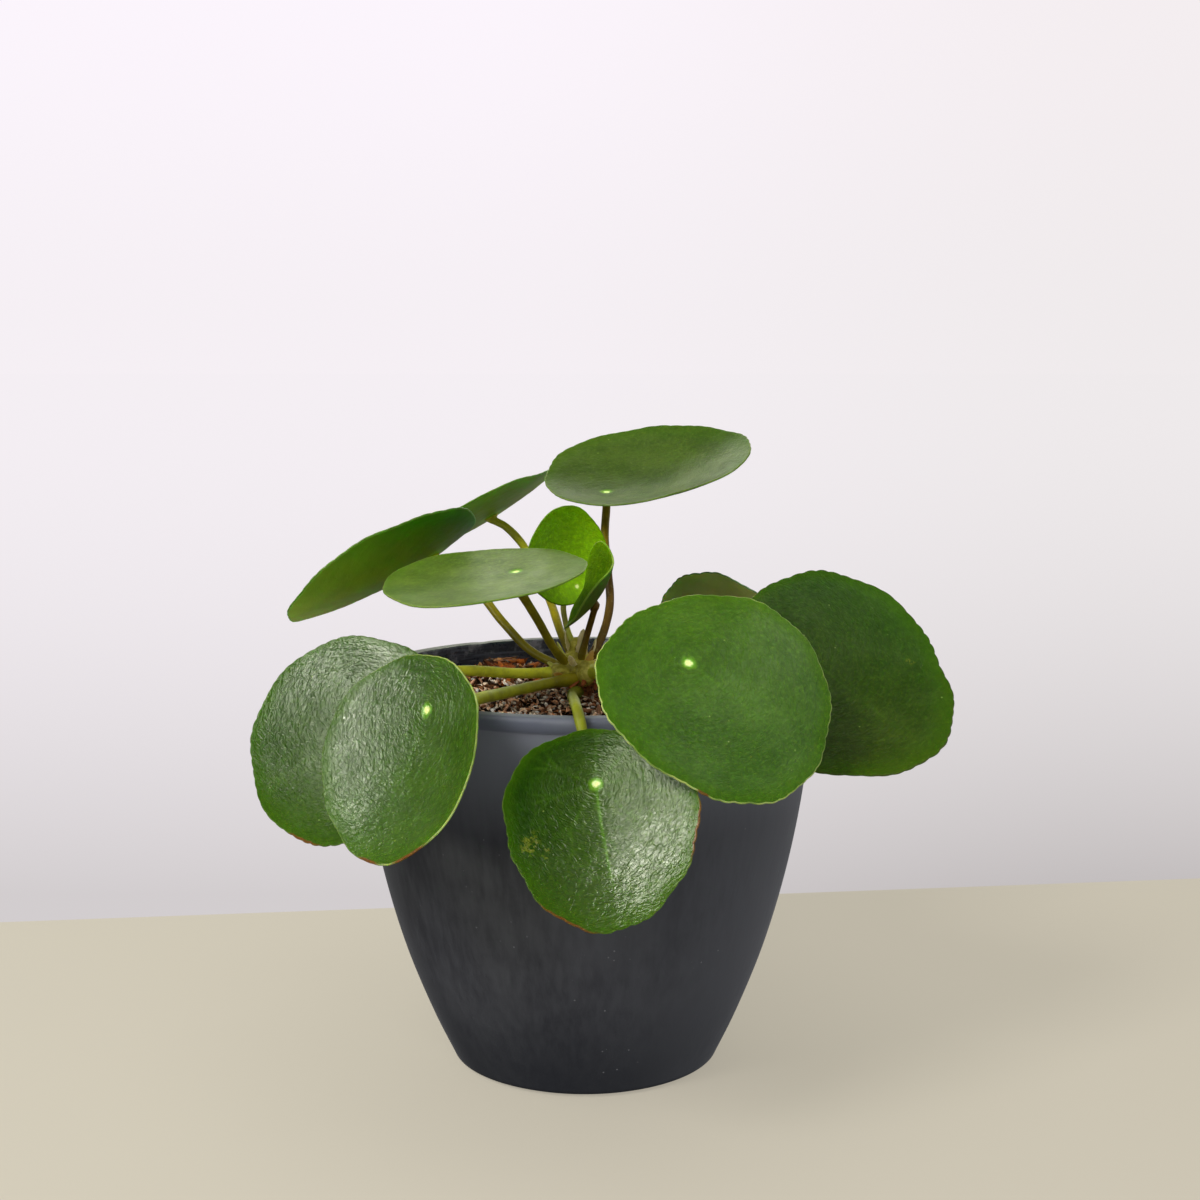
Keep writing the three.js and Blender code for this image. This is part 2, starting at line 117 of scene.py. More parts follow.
LEAVES = {
    "01": dict(
        joint=(6.5, 29, 169), tilt=20, lean=-30, turn=142, radius=32.5, offset=15,
        droop=(-6.5, -7.5), oval=(0.5, -38), egg=(0.5, -12), scallop=(0.2, 11),
        teeth=(0.25, 46), rim=0.2, relief=0.6,
        tone_and_light=[(1.5, 1.1, 4)] * 2, gloss=[0.6] * 2,
        stalk_radius=1.3, stalk_tint=("brown", "brown", "olive"),
        path=[(0, -1, 119), (2.5, -1, 123), (5.5, 3.5, 128.5), (7.5, 9, 136.5), (7, 15, 145.5),
              (6, 22, 156)],
    ),
    "02": dict(
        joint=(-31.5, 55.5, 159.5), tilt=30, lean=-107, turn=-3, radius=32.5, offset=8,
        droop=(-3.5, -4.5), scallop=(0.2, 11), ruffle=(0.3, 6),
        teeth=(0.25, 48), rim=0.0,
        tone_and_light=[(2.2, 2.0, 1.4)] * 2,
        stalk_radius=1.3, rise=1, stalk_tint=("olive", "olive", "lime"),
        path=[(-3, 1.5, 120.5), (-5, 4.5, 123.5), (-7, 9, 126.5), (-11, 24, 135), (-16, 38, 143.5),
              (-21, 48, 151), (-26.5, 53, 156)],
    ),
    "03": dict(
        joint=(-47, 12, 151), tilt=33, lean=-114, turn=39, radius=32, offset=15.5,
        droop=(-4, -9), egg=(1, 34), scallop=(0.2, 11),
        teeth=(0.25, 48), rim=0.2,
        # Painted light and shade: one side of the underside painted paler and greyer for its sheen, the other
        # darker
        tone_and_light=((4.2, 3.2, 9), (0.6, 0.8, 0.3)), tone_and_light_way=-40,
        stalk_radius=1.3, stalk_tint=("olive", "olive", "lime"),
        path=[(-5.5, -0.5, 117.5), (-9.5, 1, 119.5), (-17, 3, 123.5), (-25, 5.5, 131.5), (-35, 9, 143)],
    ),
    "04": dict(
        joint=(-19, -34, 151.5), tilt=10, lean=-34, turn=-18, radius=28.5, offset=10,
        droop=(-1, -2.5), egg=(0.5, -54), scallop=(0.2, 10), ruffle=(0.2, 5),
        teeth=(0.2, 44), rim=0.2, relief=0.2,
        tone_and_light=[(2.5, 1.7, 7)] * 2, gloss=[0.25] * 2,
        stalk_radius=1.3, stalk_tint=("olive", "olive", "olive"),
        path=[(-3.5, -2, 119), (-6.5, -4, 121.5), (-9.5, -9.5, 126.5), (-13.5, -18, 135.5),
              (-17, -26, 143)],
    ),
    "05": dict(
        joint=(-2.5, 3, 142.5), tilt=86, lean=36, turn=199, radius=15, offset=10,
        droop=(-4.5, -2.5), egg=(0.5, -8), scallop=(0.1, 8), ruffle=(0.1, 4),
        teeth=(0.1, 30), rim=-0.6,
        tone_and_light=[(1.65, 1.6, 0.7)] * 2,
        stalk_radius=0.9, stalk_tint=("lime", "pale", "pale"),
        path=[(-2, -0.5, 123.5), (-4.5, 1.5, 127.5), (-6, 4, 132), (-6.5, 6, 137)],
    ),
    "06": dict(
        joint=(2, -12.5, 139.5), tilt=62, lean=-80, turn=151, radius=12, offset=4.5,
        droop=(-2, -1.5), fold=(5, 2), oval=(1.5, 30), egg=(1.5, -60), scallop=(0.1, 7), ruffle=(0.1, 4),
        teeth=(0.1, 24), rim=0.4,
        tone_and_light=[(0.65, 0.65, 1)] * 2,
        stalk_radius=1, rise=0.5, stalk_tint=("olive", "brown", "brown"),
        path=[(-1.5, -3, 120.5), (-0.5, -5.5, 125), (1.2, -8, 131.5), (2.4, -10.5, 136)],
    ),
    "07": dict(
        joint=(-61.5, -47.5, 118), tilt=60, lean=-22, turn=1, radius=30, offset=11,
        droop=(1.5, -3), egg=(1, -26), scallop=(0.3, 9), ruffle=(0.4, 5),
        teeth=(0.35, 56), rim=-0.3, relief=1.3,
        tone_and_light=((0.8, 0.8, 0.6), (0.9, 0.9, 0.8)), gloss=(0.1, 1.95), tone_and_light_way=-15,
        stalk_radius=1.6, rise=3, stalk_tint=("bright", "bright", "lime"),
        path=[(-6.5, -3.5, 117.8), (-13.5, -4, 117.5), (-21, -10, 118.5), (-35.5, -22.5, 121.5),
              (-48, -33, 122), (-54.5, -39, 121)],
    ),
    "08": dict(
        joint=(-40.5, -72.5, 120), tilt=60, lean=-44, turn=0, radius=28.5, offset=14,
        droop=(-4, -5), oval=(2, 52), egg=(0.5, 32), scallop=(0.2, 10),
        teeth=(0.15, 44), rim=0.5, rim_swing=0.4, rim_way=95, relief=1.35, veins=0.12,
        tone_and_light=((1.15, 1.15, 1), (0.9, 0.95, 0.8)), gloss=(0.4, 1.45), tone_and_light_way=90,
        stalk_radius=1.7, rise=3, stalk_tint=("olive", "lime", "lime"),
        path=[(-3, -5, 115.8), (-8.5, -10.5, 116), (-14, -19.5, 116.5), (-24.5, -40, 117.8),
              (-28, -52, 119.2), (-32, -63, 119.4)],
    ),
    "09": dict(
        joint=(3.5, -92, 105), tilt=62, lean=-14, turn=16, radius=25.5, offset=10,
        droop=(5, 0), fold=(5.5, 6), oval=(1, 17), egg=(1, -24),
        teeth=(0.4, 42), rim=0.1, rim_swing=0.3, rim_way=100, relief=1.2, veins=0.4,
        # Painted light and shade: the half facing the lamp painted lighter, the other half darker
        tone_and_light=((1.6, 1.4, 0.8), (0.25, 0.38, 0.12)), gloss=(1.2, 0.1), tone_and_light_way=60,
        stalk_radius=1.5, rise=2.5, stalk_tint=("moss", "moss", "moss"),
        path=[(-2, -5, 112), (-3.5, -12, 113), (-3.5, -25, 114.5), (-2.5, -45, 117), (-2, -62, 119.2),
              (-1.5, -69, 119.5), (-0.5, -73.5, 116.5), (1, -77.5, 111), (3.5, -84, 105)],
    ),
    "10": dict(
        joint=(27, -82, 134), tilt=50, lean=20, turn=35, radius=31, offset=10.5,
        droop=(5, -0.5), oval=(0.5, 46), egg=(0.5, -15), ruffle=(0.3, 6),
        teeth=(0.45, 50), rim=0.8, rim_swing=0.3, rim_way=-110, relief=1.1, veins=0.1,
        tone_and_light=((1.35, 1.38, 1.1), (1.15, 1.28, 0.5)), gloss=(1.0, 0.7), tone_and_light_way=90,
        stalk_radius=1.6, stalk_tint=("lime", "lime", "lime"),
        path=[(1, -5, 118), (7.5, -17, 118.5), (16, -37, 120.5), (23, -56, 125.5)],
    ),
    "11": dict(
        joint=(60, -38.5, 130.5), tilt=45, lean=13, turn=35, radius=34, offset=13,
        droop=(-5, -2.5), oval=(0.5, -53), egg=(1.5, 2), ruffle=(0.4, 6),
        teeth=(0.45, 52), rim=-0.7,
        # Painted shade: the lower left painted duller and darker, where leaf 10's shadow falls
        tone_and_light=((0.85, 0.6, 0.9), (0.62, 0.72, 0.6)), gloss=[0.45] * 2, tone_and_light_way=-60,
        stalk_radius=1.5, stalk_tint=("lime", "lime", "lime"),
        path=[(3.5, 0.5, 117), (18, -6, 118), (38, -15.5, 120.5), (52, -26, 124)],
    ),
    "12": dict(
        joint=(45, 51, 126), tilt=63, lean=141, turn=-12, radius=27.5, offset=8.5,
        droop=(2, 3), ruffle=(0.3, 6),
        teeth=(0.45, 44), rim=-0.5,
        tone_and_light=[(3.5, 2.2, 42)] * 2,
        stalk_radius=1.4, stalk_tint=("lime", "olive", "olive"),
        path=[(2, 3, 119.8), (11, 13, 118.5), (25, 29, 119), (36, 42, 121.5)],
    ),
}

STALK_TINTS = {
    "brown": (0.16, 0.085, 0.008),
    "olive": (0.32, 0.27, 0.008),
    "moss": (0.24, 0.27, 0.015),
    "lime": (0.50, 0.56, 0.025),
    # Painted light: a lime painted lighter for leaf 07's stalk, which lies in shade
    "bright": (0.95, 1.0, 0.06),
    "pale": (0.46, 0.46, 0.07),
}


# Numbers and vectors

def scaled(colour, factor):
    return tuple(part * factor for part in colour)


def unit(vectors):
    vectors = np.asarray(vectors, float)
    return vectors / np.linalg.norm(vectors, axis=-1, keepdims=True)


def smooth_step(value, low, high):
    t = np.clip((np.asarray(value, float) - low) / (high - low), 0, 1)
    return t * t * (3 - 2 * t)


def wave_field(seed, count, shortest, longest):
    """Random plane waves whose lengths lie between two sizes in millimetres."""
    draw = np.random.default_rng(seed)
    way = unit(draw.normal(size=(count, 3)))
    length = np.exp(draw.uniform(math.log(shortest), math.log(longest), count))
    return way * (2 * math.pi / length)[:, None], draw.uniform(0, 2 * math.pi, count)


def height_in(field, points):
    """The waves' height at each point, mostly between -1 and 1."""
    waves, phase = field
    return np.cos(points @ waves.T + phase).sum(axis=1) / math.sqrt(len(phase))


def smooth_path(points, step):
    """Points a step apart along the smooth curve through the given ones."""
    points = np.asarray(points, float)
    padded = np.vstack([2 * points[0] - points[1], points, 2 * points[-1] - points[-2]])
    made = []
    for k in range(len(points) - 1):
        p0, p1, p2, p3 = padded[k:k + 4]
        d0, d1, d2 = (max(np.linalg.norm(b - a), 1e-4) ** 0.5 for a, b in ((p0, p1), (p1, p2), (p2, p3)))
        start = ((p1 - p0) / d0 - (p2 - p0) / (d0 + d1) + (p2 - p1) / d1) * d1
        end = ((p2 - p1) / d1 - (p3 - p1) / (d1 + d2) + (p3 - p2) / d2) * d1
        count = max(2, round(np.linalg.norm(p2 - p1) / step))
        t = (np.arange(count) / count)[:, None]
        made.append(
            (2 * t**3 - 3 * t**2 + 1) * p1 + (t**3 - 2 * t**2 + t) * start
            + (3 * t**2 - 2 * t**3) * p2 + (t**3 - t**2) * end
        )
    return np.vstack([*made, points[-1:]])


# Meshes

def add_object(name, data):
    made = bpy.data.objects.new(name, data)
    bpy.context.scene.collection.objects.link(made)
    return made


def new_piece(name, points, faces, materials, nodes, face_material=None, values=None, tints=None):
    """A smooth mesh that rides on the plant's one body and stands for the given CAD nodes."""
    mesh = bpy.data.meshes.new(name)
    mesh.from_pydata((np.asarray(points) * MM).tolist(), [], [list(map(int, f)) for f in faces])
    for material in materials:
        mesh.materials.append(material)
    if face_material is not None:
        mesh.polygons.foreach_set("material_index", np.asarray(face_material, np.int32))
    for key, numbers in (values or {}).items():
        numbers = np.asarray(numbers, np.float32)
        kind, field = ("FLOAT", "value") if numbers.ndim == 1 else ("FLOAT_VECTOR", "vector")
        mesh.attributes.new(key, kind, "POINT").data.foreach_set(field, numbers.ravel())
    if tints is not None:
        layer = mesh.attributes.new("tint", "FLOAT_COLOR", "POINT")
        full = np.ones((len(points), 4), np.float32)
        full[:, :3] = tints
        layer.data.foreach_set("color", full.ravel())
    mesh.shade_smooth()
    mesh.update()
    piece = add_object(name, mesh)
    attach(piece, "root")
    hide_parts(*nodes)
    return piece


def band(first, second, count):
    """Quads between two closed rings of count points each, whose first points are given."""
    k = np.arange(count)
    ahead = (k + 1) % count
    return np.stack([first + k, second + k, second + ahead, first + ahead], axis=1)


def turned(profile, sides):
    """A closed body turned about Z. The profile runs from the axis out, up and back to the axis."""
    angles = 2 * np.pi * np.arange(sides) / sides
    points = [(0, 0, profile[0][1])]
    for radius, height in profile[1:-1]:
        points.extend(zip(radius * np.cos(angles), radius * np.sin(angles), np.full(sides, height)))
    points.append((0, 0, profile[-1][1]))
    rings = len(profile) - 2
    faces = [(0, 1 + (k + 1) % sides, 1 + k) for k in range(sides)]
    for ring in range(rings - 1):
        faces.extend(band(1 + (ring + 1) * sides, 1 + ring * sides, sides))
    last = 1 + (rings - 1) * sides
    faces.extend((last + k, last + (k + 1) % sides, len(points) - 1) for k in range(sides))
    return np.array(points, float), faces


def joined(bodies):
    """The points and faces of several bodies in one list each."""
    points, faces = [], []
    start = 0
    for body_points, body_faces in bodies:
        points.append(body_points)
        faces.extend([int(i) + start for i in face] for face in body_faces)
        start += len(body_points)
    return np.vstack(points), faces


def tube(path, radii, sides):
    """A round tube along a path, closed by a low dome at each end."""
    ahead = unit(np.gradient(path, axis=0))
    across = unit(np.cross(ahead[0], (0.3, 0.2, 0.93)))
    frames = []
    for way in ahead:
        across = unit(across - way * (across @ way))
        frames.append((across, np.cross(way, across)))
    angles = 2 * np.pi * np.arange(sides) / sides
    rings = []
    for centre, radius, (a, b) in zip(path, radii, frames):
        rings.append(centre + radius * (np.outer(np.cos(angles), a) + np.outer(np.sin(angles), b)))
    count = len(path)
    points = np.vstack([*rings, path[0] - ahead[0] * radii[0] * 0.4, path[-1] + ahead[-1] * 0.1])
    faces = [f for k in range(count - 1) for f in band((k + 1) * sides, k * sides, sides)]
    start, end = count * sides, count * sides + 1
    for k in range(sides):
        faces.append((start, (k + 1) % sides, k))
        faces.append((end, (count - 1) * sides + k, (count - 1) * sides + (k + 1) % sides))
    return points, faces


# Materials

class Graph:
    """The nodes of a material or of the world."""

    def __init__(self, owner):
        owner.use_nodes = True
        self.owner = owner
        self.tree = owner.node_tree
        self.tree.nodes.clear()
        self.coordinates = self.node("TexCoord").outputs
        self.place = self.coordinates["Object"]

    def node(self, kind, inputs=None, **settings):
        made = self.tree.nodes.new("ShaderNode" + kind)
        for key, value in settings.items():
            setattr(made, key, value)
        for key, value in (inputs or {}).items():
            self.put(made.inputs[key], value)
        return made

    def put(self, socket, value):
        if isinstance(value, bpy.types.NodeSocket):
            self.tree.links.new(value, socket)
        elif hasattr(value, "__len__") and socket.type == "RGBA" and len(value) == 3:
            socket.default_value = (*value, 1)
        else:
            socket.default_value = value

    def stretched(self, scale):
        return self.node("Mapping", {"Vector": self.place, "Scale": scale}).outputs["Vector"]

    def noise(self, scale, detail=3, roughness=0.5, place=None, distortion=0.0):
        inputs = {"Vector": place or self.place, "Scale": scale, "Detail": detail, "Roughness": roughness,
                  "Distortion": distortion}
        return self.node("TexNoise", inputs).outputs["Fac"]

    def fibres(self, scale, detail, roughness=0.5):
        """Noise with a scale for each axis, drawn out along the axis whose scale is low."""
        return self.noise(1.0, detail, roughness, place=self.stretched(scale))

    def cells(self, scale):
        return self.node("TexVoronoi", {"Vector": self.place, "Scale": scale}).outputs

    def dots(self, scale, size, channel, chosen):
        """Small round dots in those cells whose random channel lies past the chosen span."""
        cells = self.cells(scale)
        chance = self.node("SeparateColor", {"Color": cells["Color"]}).outputs[channel]
        return self.times(self.span(cells["Distance"], *size, 1, 0), self.span(chance, *chosen))

    def value(self, name):
        return self.node("Attribute", attribute_name=name).outputs["Fac"]

    def tint(self):
        return self.node("Attribute", attribute_name="tint").outputs["Color"]

    def span(self, value, low, high, start=0.0, end=1.0):
        """value mapped smoothly from low..high to start..end."""
        made = self.node(
            "MapRange",
            {"Value": value, "From Min": low, "From Max": high, "To Min": start, "To Max": end},
            interpolation_type="SMOOTHSTEP",
        )
        return made.outputs["Result"]

    def math(self, operation, a, b):
        made = self.node("Math", operation=operation)
        self.put(made.inputs[0], a)
        self.put(made.inputs[1], b)
        return made.outputs[0]

    def times(self, a, b):
        return self.math("MULTIPLY", a, b)

    def plus(self, a, b):
        return self.math("ADD", a, b)

    def mix(self, share, a, b, blend="MIX"):
        made = self.node("Mix", data_type="RGBA", blend_type=blend)
        self.put(made.inputs[0], share)
        self.put(made.inputs[6], a)
        self.put(made.inputs[7], b)
        return made.outputs[2]

    def coat(self, colour, tint, value, low, high, start, end):
        """The colour under a tint, whose share goes from start to end as the value goes from low to high."""
        return self.mix(self.span(value, low, high, start, end), colour, tint)

    def bump(self, height, distance, strength):
        inputs = {"Height": height, "Distance": distance * MM, "Strength": strength}
        return self.node("Bump", inputs).outputs["Normal"]

    def finish(self, colour, roughness, normal, specular=0.5, inner=0, inner_reach=None):
        """The surface. inner is the share of light that passes under the skin, inner_reach how far in mm."""
        inputs = {"Base Color": colour, "Roughness": roughness, "Normal": normal,
                  "Specular IOR Level": specular}
        if inner:
            inputs |= {"Subsurface Weight": inner, "Subsurface Radius": inner_reach, "Subsurface Scale": MM}
        shader = self.node("BsdfPrincipled", inputs)
        self.node("OutputMaterial", {"Surface": shader.outputs[0]})
        return self.owner


def new_material(name):
    return Graph(bpy.data.materials.new(name))


def pot_outside_material():
    """Dark matte plastic with faint streaks down the wall and specks; painted shade darkens it toward the
    foot, painted light makes a paler band under the rim, and the rim band is painted a paler bluish grey for
    the light it reflects.
    """
    g = new_material("pot_outside")
    height = g.node("SeparateXYZ", {"Vector": g.place}).outputs["Z"]
    streaks = g.fibres((420, 420, 6), 4, 0.65)
    clouds = g.noise(28, detail=4, roughness=0.6)
    colour = g.mix(g.span(streaks, 0.3, 0.7), (0.030, 0.030, 0.037), (0.045, 0.046, 0.055))
    colour = g.coat(colour, (0.072, 0.073, 0.084), clouds, 0.35, 0.7, 0, 0.5)
    # Painted shade: the wall darker toward the foot, where little light reaches
    colour = g.coat(colour, (0.015, 0.017, 0.024), height, 0.0, 0.045, 0.85, 0)
    # Painted light: the wall paler toward the rim, where light from above falls and the leaves' shadows are
    # lifted
    colour = g.coat(colour, (0.19, 0.20, 0.235), height, 0.078, 0.1125, 0, 0.9)
    # Painted reflection: the rim band a bluish grey, paler than the wall's body, for the light in front that
    # it reflects
    colour = g.coat(colour, (0.095, 0.105, 0.14), height, 0.1125, 0.1132, 0, 0.8)
    speck = g.times(g.span(g.cells(330)["Distance"], 0.05, 0.11, 1, 0), g.span(g.noise(60, 2), 0.55, 0.65))
    colour = g.mix(g.times(speck, 0.7), colour, (0.22, 0.22, 0.23))
    grain = g.noise(2600, detail=2)
    lines = g.fibres((900, 900, 12), 3)
    normal = g.bump(g.plus(grain, g.times(lines, 1.5)), 0.03, 0.5)
    rough = g.span(g.plus(clouds, g.times(streaks, 0.5)), 0.5, 1.0, 0.44, 0.58)
    return g.finish(colour, rough, normal, specular=0.6)


def pot_inside_material():
    """The same plastic inside the rim, dark and wet, with level streaks left by watering."""
    g = new_material("pot_inside")
    level = g.fibres((60, 60, 700), 5, 0.7)
    wet = g.noise(160, detail=4, roughness=0.6)
    colour = g.mix(g.span(level, 0.42, 0.7), (0.020, 0.024, 0.040), (0.11, 0.12, 0.16))
    colour = g.coat(colour, (0.28, 0.28, 0.32), wet, 0.54, 0.68, 0, 0.8)
    normal = g.bump(g.plus(level, wet), 0.4, 0.8)
    rough = g.span(wet, 0.35, 0.7, 0.22, 0.5)
    return g.finish(colour, rough, normal)


def soil_material():
    """Dark, damp crumbs between the chips."""
    g = new_material("potting_mix_ground")
    crumbs = g.cells(420)["Distance"]
    fine = g.noise(700, detail=5, roughness=0.7)
    colour = g.mix(g.span(fine, 0.35, 0.65), (0.012, 0.006, 0.003), (0.06, 0.032, 0.016))
    colour = g.coat(colour, (0.10, 0.065, 0.042), crumbs, 0.0, 0.35, 0.6, 0)
    normal = g.bump(g.plus(fine, crumbs), 0.8, 0.9)
    return g.finish(colour, 0.9, normal, specular=0.25)


def chip_material():
    """Bark, coir and perlite: each bit has its own tint, with fibres along it and darker dust."""
    g = new_material("potting_mix_chips")
    fibres = g.fibres((1500, 500, 900), 4, 0.7)
    dust = g.noise(260, detail=4, roughness=0.6)
    colour = g.mix(g.span(fibres, 0.4, 0.75, 0, 0.5), g.tint(), (0.04, 0.018, 0.008))
    colour = g.coat(colour, (0.06, 0.03, 0.014), dust, 0.55, 0.75, 0, 0.4)
    normal = g.bump(fibres, 0.15, 0.8)
    return g.finish(colour, 0.72, normal, specular=0.15)


def wrinkles(g, relief):
    """Fine ridges that run round the joint, and an even grain: the height for a bump."""
    blade = g.node("Attribute", attribute_name="blade").outputs["Vector"]
    rings = g.node("Mapping", {"Vector": blade, "Scale": (0.95, 0.55, 0.55)}).outputs["Vector"]
    ridges = g.noise(1.0, detail=2, roughness=0.45, place=rings, distortion=0.9)
    grain = g.noise(900, detail=2, roughness=0.5)
    return g.times(g.plus(ridges, g.times(grain, 0.2)), relief)


def leaf_top_material(name, dark, light, glow, rough, shine):
    """Waxy upper face: broad patches, fine wrinkles, faint veins, pale joint, pale or dark rim, wear; a tint
    that holds painted light and shade on some leaves, pits darkened as painted shade, and a pale rim that is
    partly a painted highlight.
    """
    g = new_material(name)
    patches = g.noise(60, detail=5, roughness=0.6)
    fine = g.noise(800, detail=5, roughness=0.75)
    broad = g.noise(32, detail=3, roughness=0.55)
    colour = g.mix(g.span(patches, 0.33, 0.67), dark, light)
    colour = g.coat(colour, scaled(dark, 0.8), broad, 0.4, 0.6, 0, 0.45)
    colour = g.coat(colour, scaled(light, 1.8), fine, 0.45, 0.75, 0, 0.5)
    colour = g.coat(colour, scaled(dark, 0.6), fine, 0.28, 0.48, 0.5, 0)
    # The leaf's tint: its own tone, with painted light and shade on one side of some leaves
    colour = g.mix(1.0, colour, g.tint(), "MULTIPLY")
    to_rim = g.value("to_rim")
    colour = g.coat(colour, scaled(light, 1.5), to_rim, 0.8, 1.0, 0, 0.25)
    colour = g.mix(g.value("vein"), colour, glow)
    ragged = g.times(g.math("SUBTRACT", g.noise(700, detail=3, roughness=0.6), 0.5), 1.4)
    from_joint = g.plus(g.value("from_joint"), ragged)
    colour = g.coat(colour, glow, from_joint, 1.0, 2.6, 0.85, 0)
    colour = g.coat(colour, (0.80, 1.0, 0.34), from_joint, 0.6, 1.4, 1, 0)
    speck = g.dots(240, (0.02, 0.08), "Red", (0.6, 0.63))
    colour = g.mix(g.times(speck, 0.6), colour, (0.30, 0.42, 0.10))
    # Pits: small dents, each darkened as painted shade
    pit = g.times(g.dots(210, (0.03, 0.1), "Green", (0.7, 0.73)), g.span(g.value("relief"), 1.15, 1.25))
    colour = g.mix(g.times(pit, 0.2), colour, scaled(dark, 0.3))
    flecks = g.span(g.noise(900, detail=3, roughness=0.6), 0.48, 0.6)
    colour = g.mix(g.times(g.span(g.value("faded"), 0.2, 0.8, 0, 0.7), flecks), colour, (0.15, 0.17, 0.01))
    # The very edge: pale or dark, broken along the rim; the pale edge is partly a painted highlight where
    # light catches it
    edge = g.times(g.span(to_rim, 0.996, 1.0), g.span(g.noise(110, detail=3), 0.35, 0.6, 0.3, 1))
    rim = g.value("rim")
    colour = g.mix(g.times(edge, g.span(rim, 0.0, 1.0, 0.1, 0.8)), colour, (0.45, 0.52, 0.16))
    colour = g.mix(g.times(edge, g.span(rim, -1.0, 0.0, 0.85, 0)), colour, (0.035, 0.03, 0.006))
    colour = g.coat(colour, DRY_BROWN, g.value("wear"), 0.15, 0.6, 0, 0.95)
    height = wrinkles(g, g.value("relief"))
    normal = g.bump(g.plus(height, g.times(pit, -0.8)), 0.27, 1.0)
    gloss = g.span(g.noise(140, detail=4), 0.3, 0.7, rough - 0.02, rough + 0.08)
    shine_here = g.times(g.value("gloss"), g.span(patches, 0.3, 0.7, shine * 0.75, shine * 1.25))
    shine_here = g.times(shine_here, g.span(to_rim, 0.86, 0.99, 1, 0.4))
    return g.finish(colour, gloss, normal, specular=shine_here, inner=0.3, inner_reach=(1.2, 3.0, 0.2))


def leaf_under_material(name, dark, light, glow):
    """Duller lower face with a pale patch where the stalk joins and pale veins; a tint that holds painted
    light and shade on some leaves, and a pale edge that is partly a painted highlight.
    """
    g = new_material(name)
    patches = g.noise(70, detail=5, roughness=0.6)
    colour = g.mix(g.span(patches, 0.35, 0.65), dark, light)
    from_joint = g.value("from_joint")
    # The leaf's tint: its own tone, with painted light and shade on one side of some leaves
    colour = g.mix(1.0, colour, g.tint(), "MULTIPLY")
    colour = g.mix(g.times(g.value("vein"), 0.8), colour, glow)
    colour = g.coat(colour, glow, from_joint, 1.5, 6.5, 0.9, 0)
    # The edge, paler as the rim value rises: partly its own colour, partly a painted highlight
    edge = g.span(g.value("to_rim"), 0.985, 0.995)
    colour = g.mix(g.times(edge, g.span(g.value("rim"), -1.0, 1.0, 0.1, 0.7)), colour, (0.24, 0.30, 0.06))
    colour = g.coat(colour, DRY_BROWN, g.value("wear"), 0.15, 0.6, 0, 0.95)
    normal = g.bump(wrinkles(g, 0.6), 0.16, 1.0)
    return g.finish(colour, 0.55, normal, specular=0.2, inner=0.6, inner_reach=(1.5, 4.0, 0.2))


def stalk_material():
    """Smooth, slightly glossy skin whose tint runs from the stem to the blade, with fine lines."""
    g = new_material("stalk_skin")
    blotches = g.noise(180, detail=4, roughness=0.6)
    lines = g.noise(900, detail=3)
    colour = g.mix(g.span(blotches, 0.35, 0.7, 0, 0.35), g.tint(), (0.07, 0.05, 0.012))
    colour = g.coat(colour, (0.33, 0.33, 0.12), lines, 0.55, 0.75, 0, 0.3)
    normal = g.bump(g.plus(lines, blotches), 0.12, 0.5)
    return g.finish(colour, 0.45, normal, specular=0.14, inner=0.2, inner_reach=(0.9, 1.2, 0.3))


def crown_material():
    """The short stem: swollen yellow-green nodes above, brown bark below."""
    g = new_material("stem_crown_skin")
    height = g.node("SeparateXYZ", {"Vector": g.place}).outputs["Z"]
    blotches = g.noise(260, detail=5, roughness=0.65)
    fine = g.noise(1100, detail=4, roughness=0.6)
    green = g.mix(g.span(blotches, 0.35, 0.65), (0.36, 0.32, 0.03), (0.75, 0.70, 0.12))
    bark = g.mix(g.span(fine, 0.35, 0.65), (0.10, 0.03, 0.01), (0.34, 0.13, 0.045))
    green = g.coat(green, (0.22, 0.10, 0.02), g.noise(420, detail=3), 0.55, 0.7, 0, 0.6)
    level = g.plus(height, g.times(blotches, 0.006))
    colour = g.mix(g.span(level, 0.1165, 0.119), bark, green)
    normal = g.bump(g.plus(blotches, g.times(fine, 0.6)), 0.5, 0.8)
    return g.finish(colour, 0.5, normal, specular=0.12, inner=0.15, inner_reach=(0.9, 1.0, 0.4))


def scale_material():
    """Dry papery scales round the crown."""
    g = new_material("papery_scales")
    fibres = g.fibres((1400, 1400, 350), 4, 0.7)
    colour = g.mix(g.span(fibres, 0.45, 0.7, 0, 0.35), g.tint(), (0.36, 0.18, 0.04))
    normal = g.bump(fibres, 0.15, 0.7)
    return g.finish(colour, 0.5, normal, specular=0.15, inner=0.3, inner_reach=(1.0, 0.9, 0.5))


# Pot

def pot_profile():
    """(radius, height) from the foot's middle up the outside, over the rim and down to the floor's middle."""
    wall = smooth_path([(r, z, 0) for r, z in POT_WALL], 1.5)[:, :2]
    under_band = [(69.1, 112.7), (RIM_RADIUS, POT_HEIGHT - RIM_BAND_HEIGHT)]
    turn = np.linspace(0, math.pi / 2, 7)
    outer, inner = RIM_OUTER_ROUND, RIM_INNER_ROUND
    outer_round = [(RIM_RADIUS - outer + outer * math.cos(a), POT_HEIGHT - outer + outer * math.sin(a))
                   for a in turn]
    inner_round = [(RIM_INNER_RADIUS + inner - inner * math.sin(a), POT_HEIGHT - inner + inner * math.cos(a))
                   for a in turn]
    inside = [(r - WALL_THICKNESS, z) for r, z in wall if FLOOR_THICKNESS + 2 < z < POT_HEIGHT - 12][::-1]
    floor = [(POT_WALL[0][0] - WALL_THICKNESS, FLOOR_THICKNESS), (0, FLOOR_THICKNESS)]
    return [*POT_FOOT, *wall, *under_band, *outer_round, *inner_round, *inside, *floor]


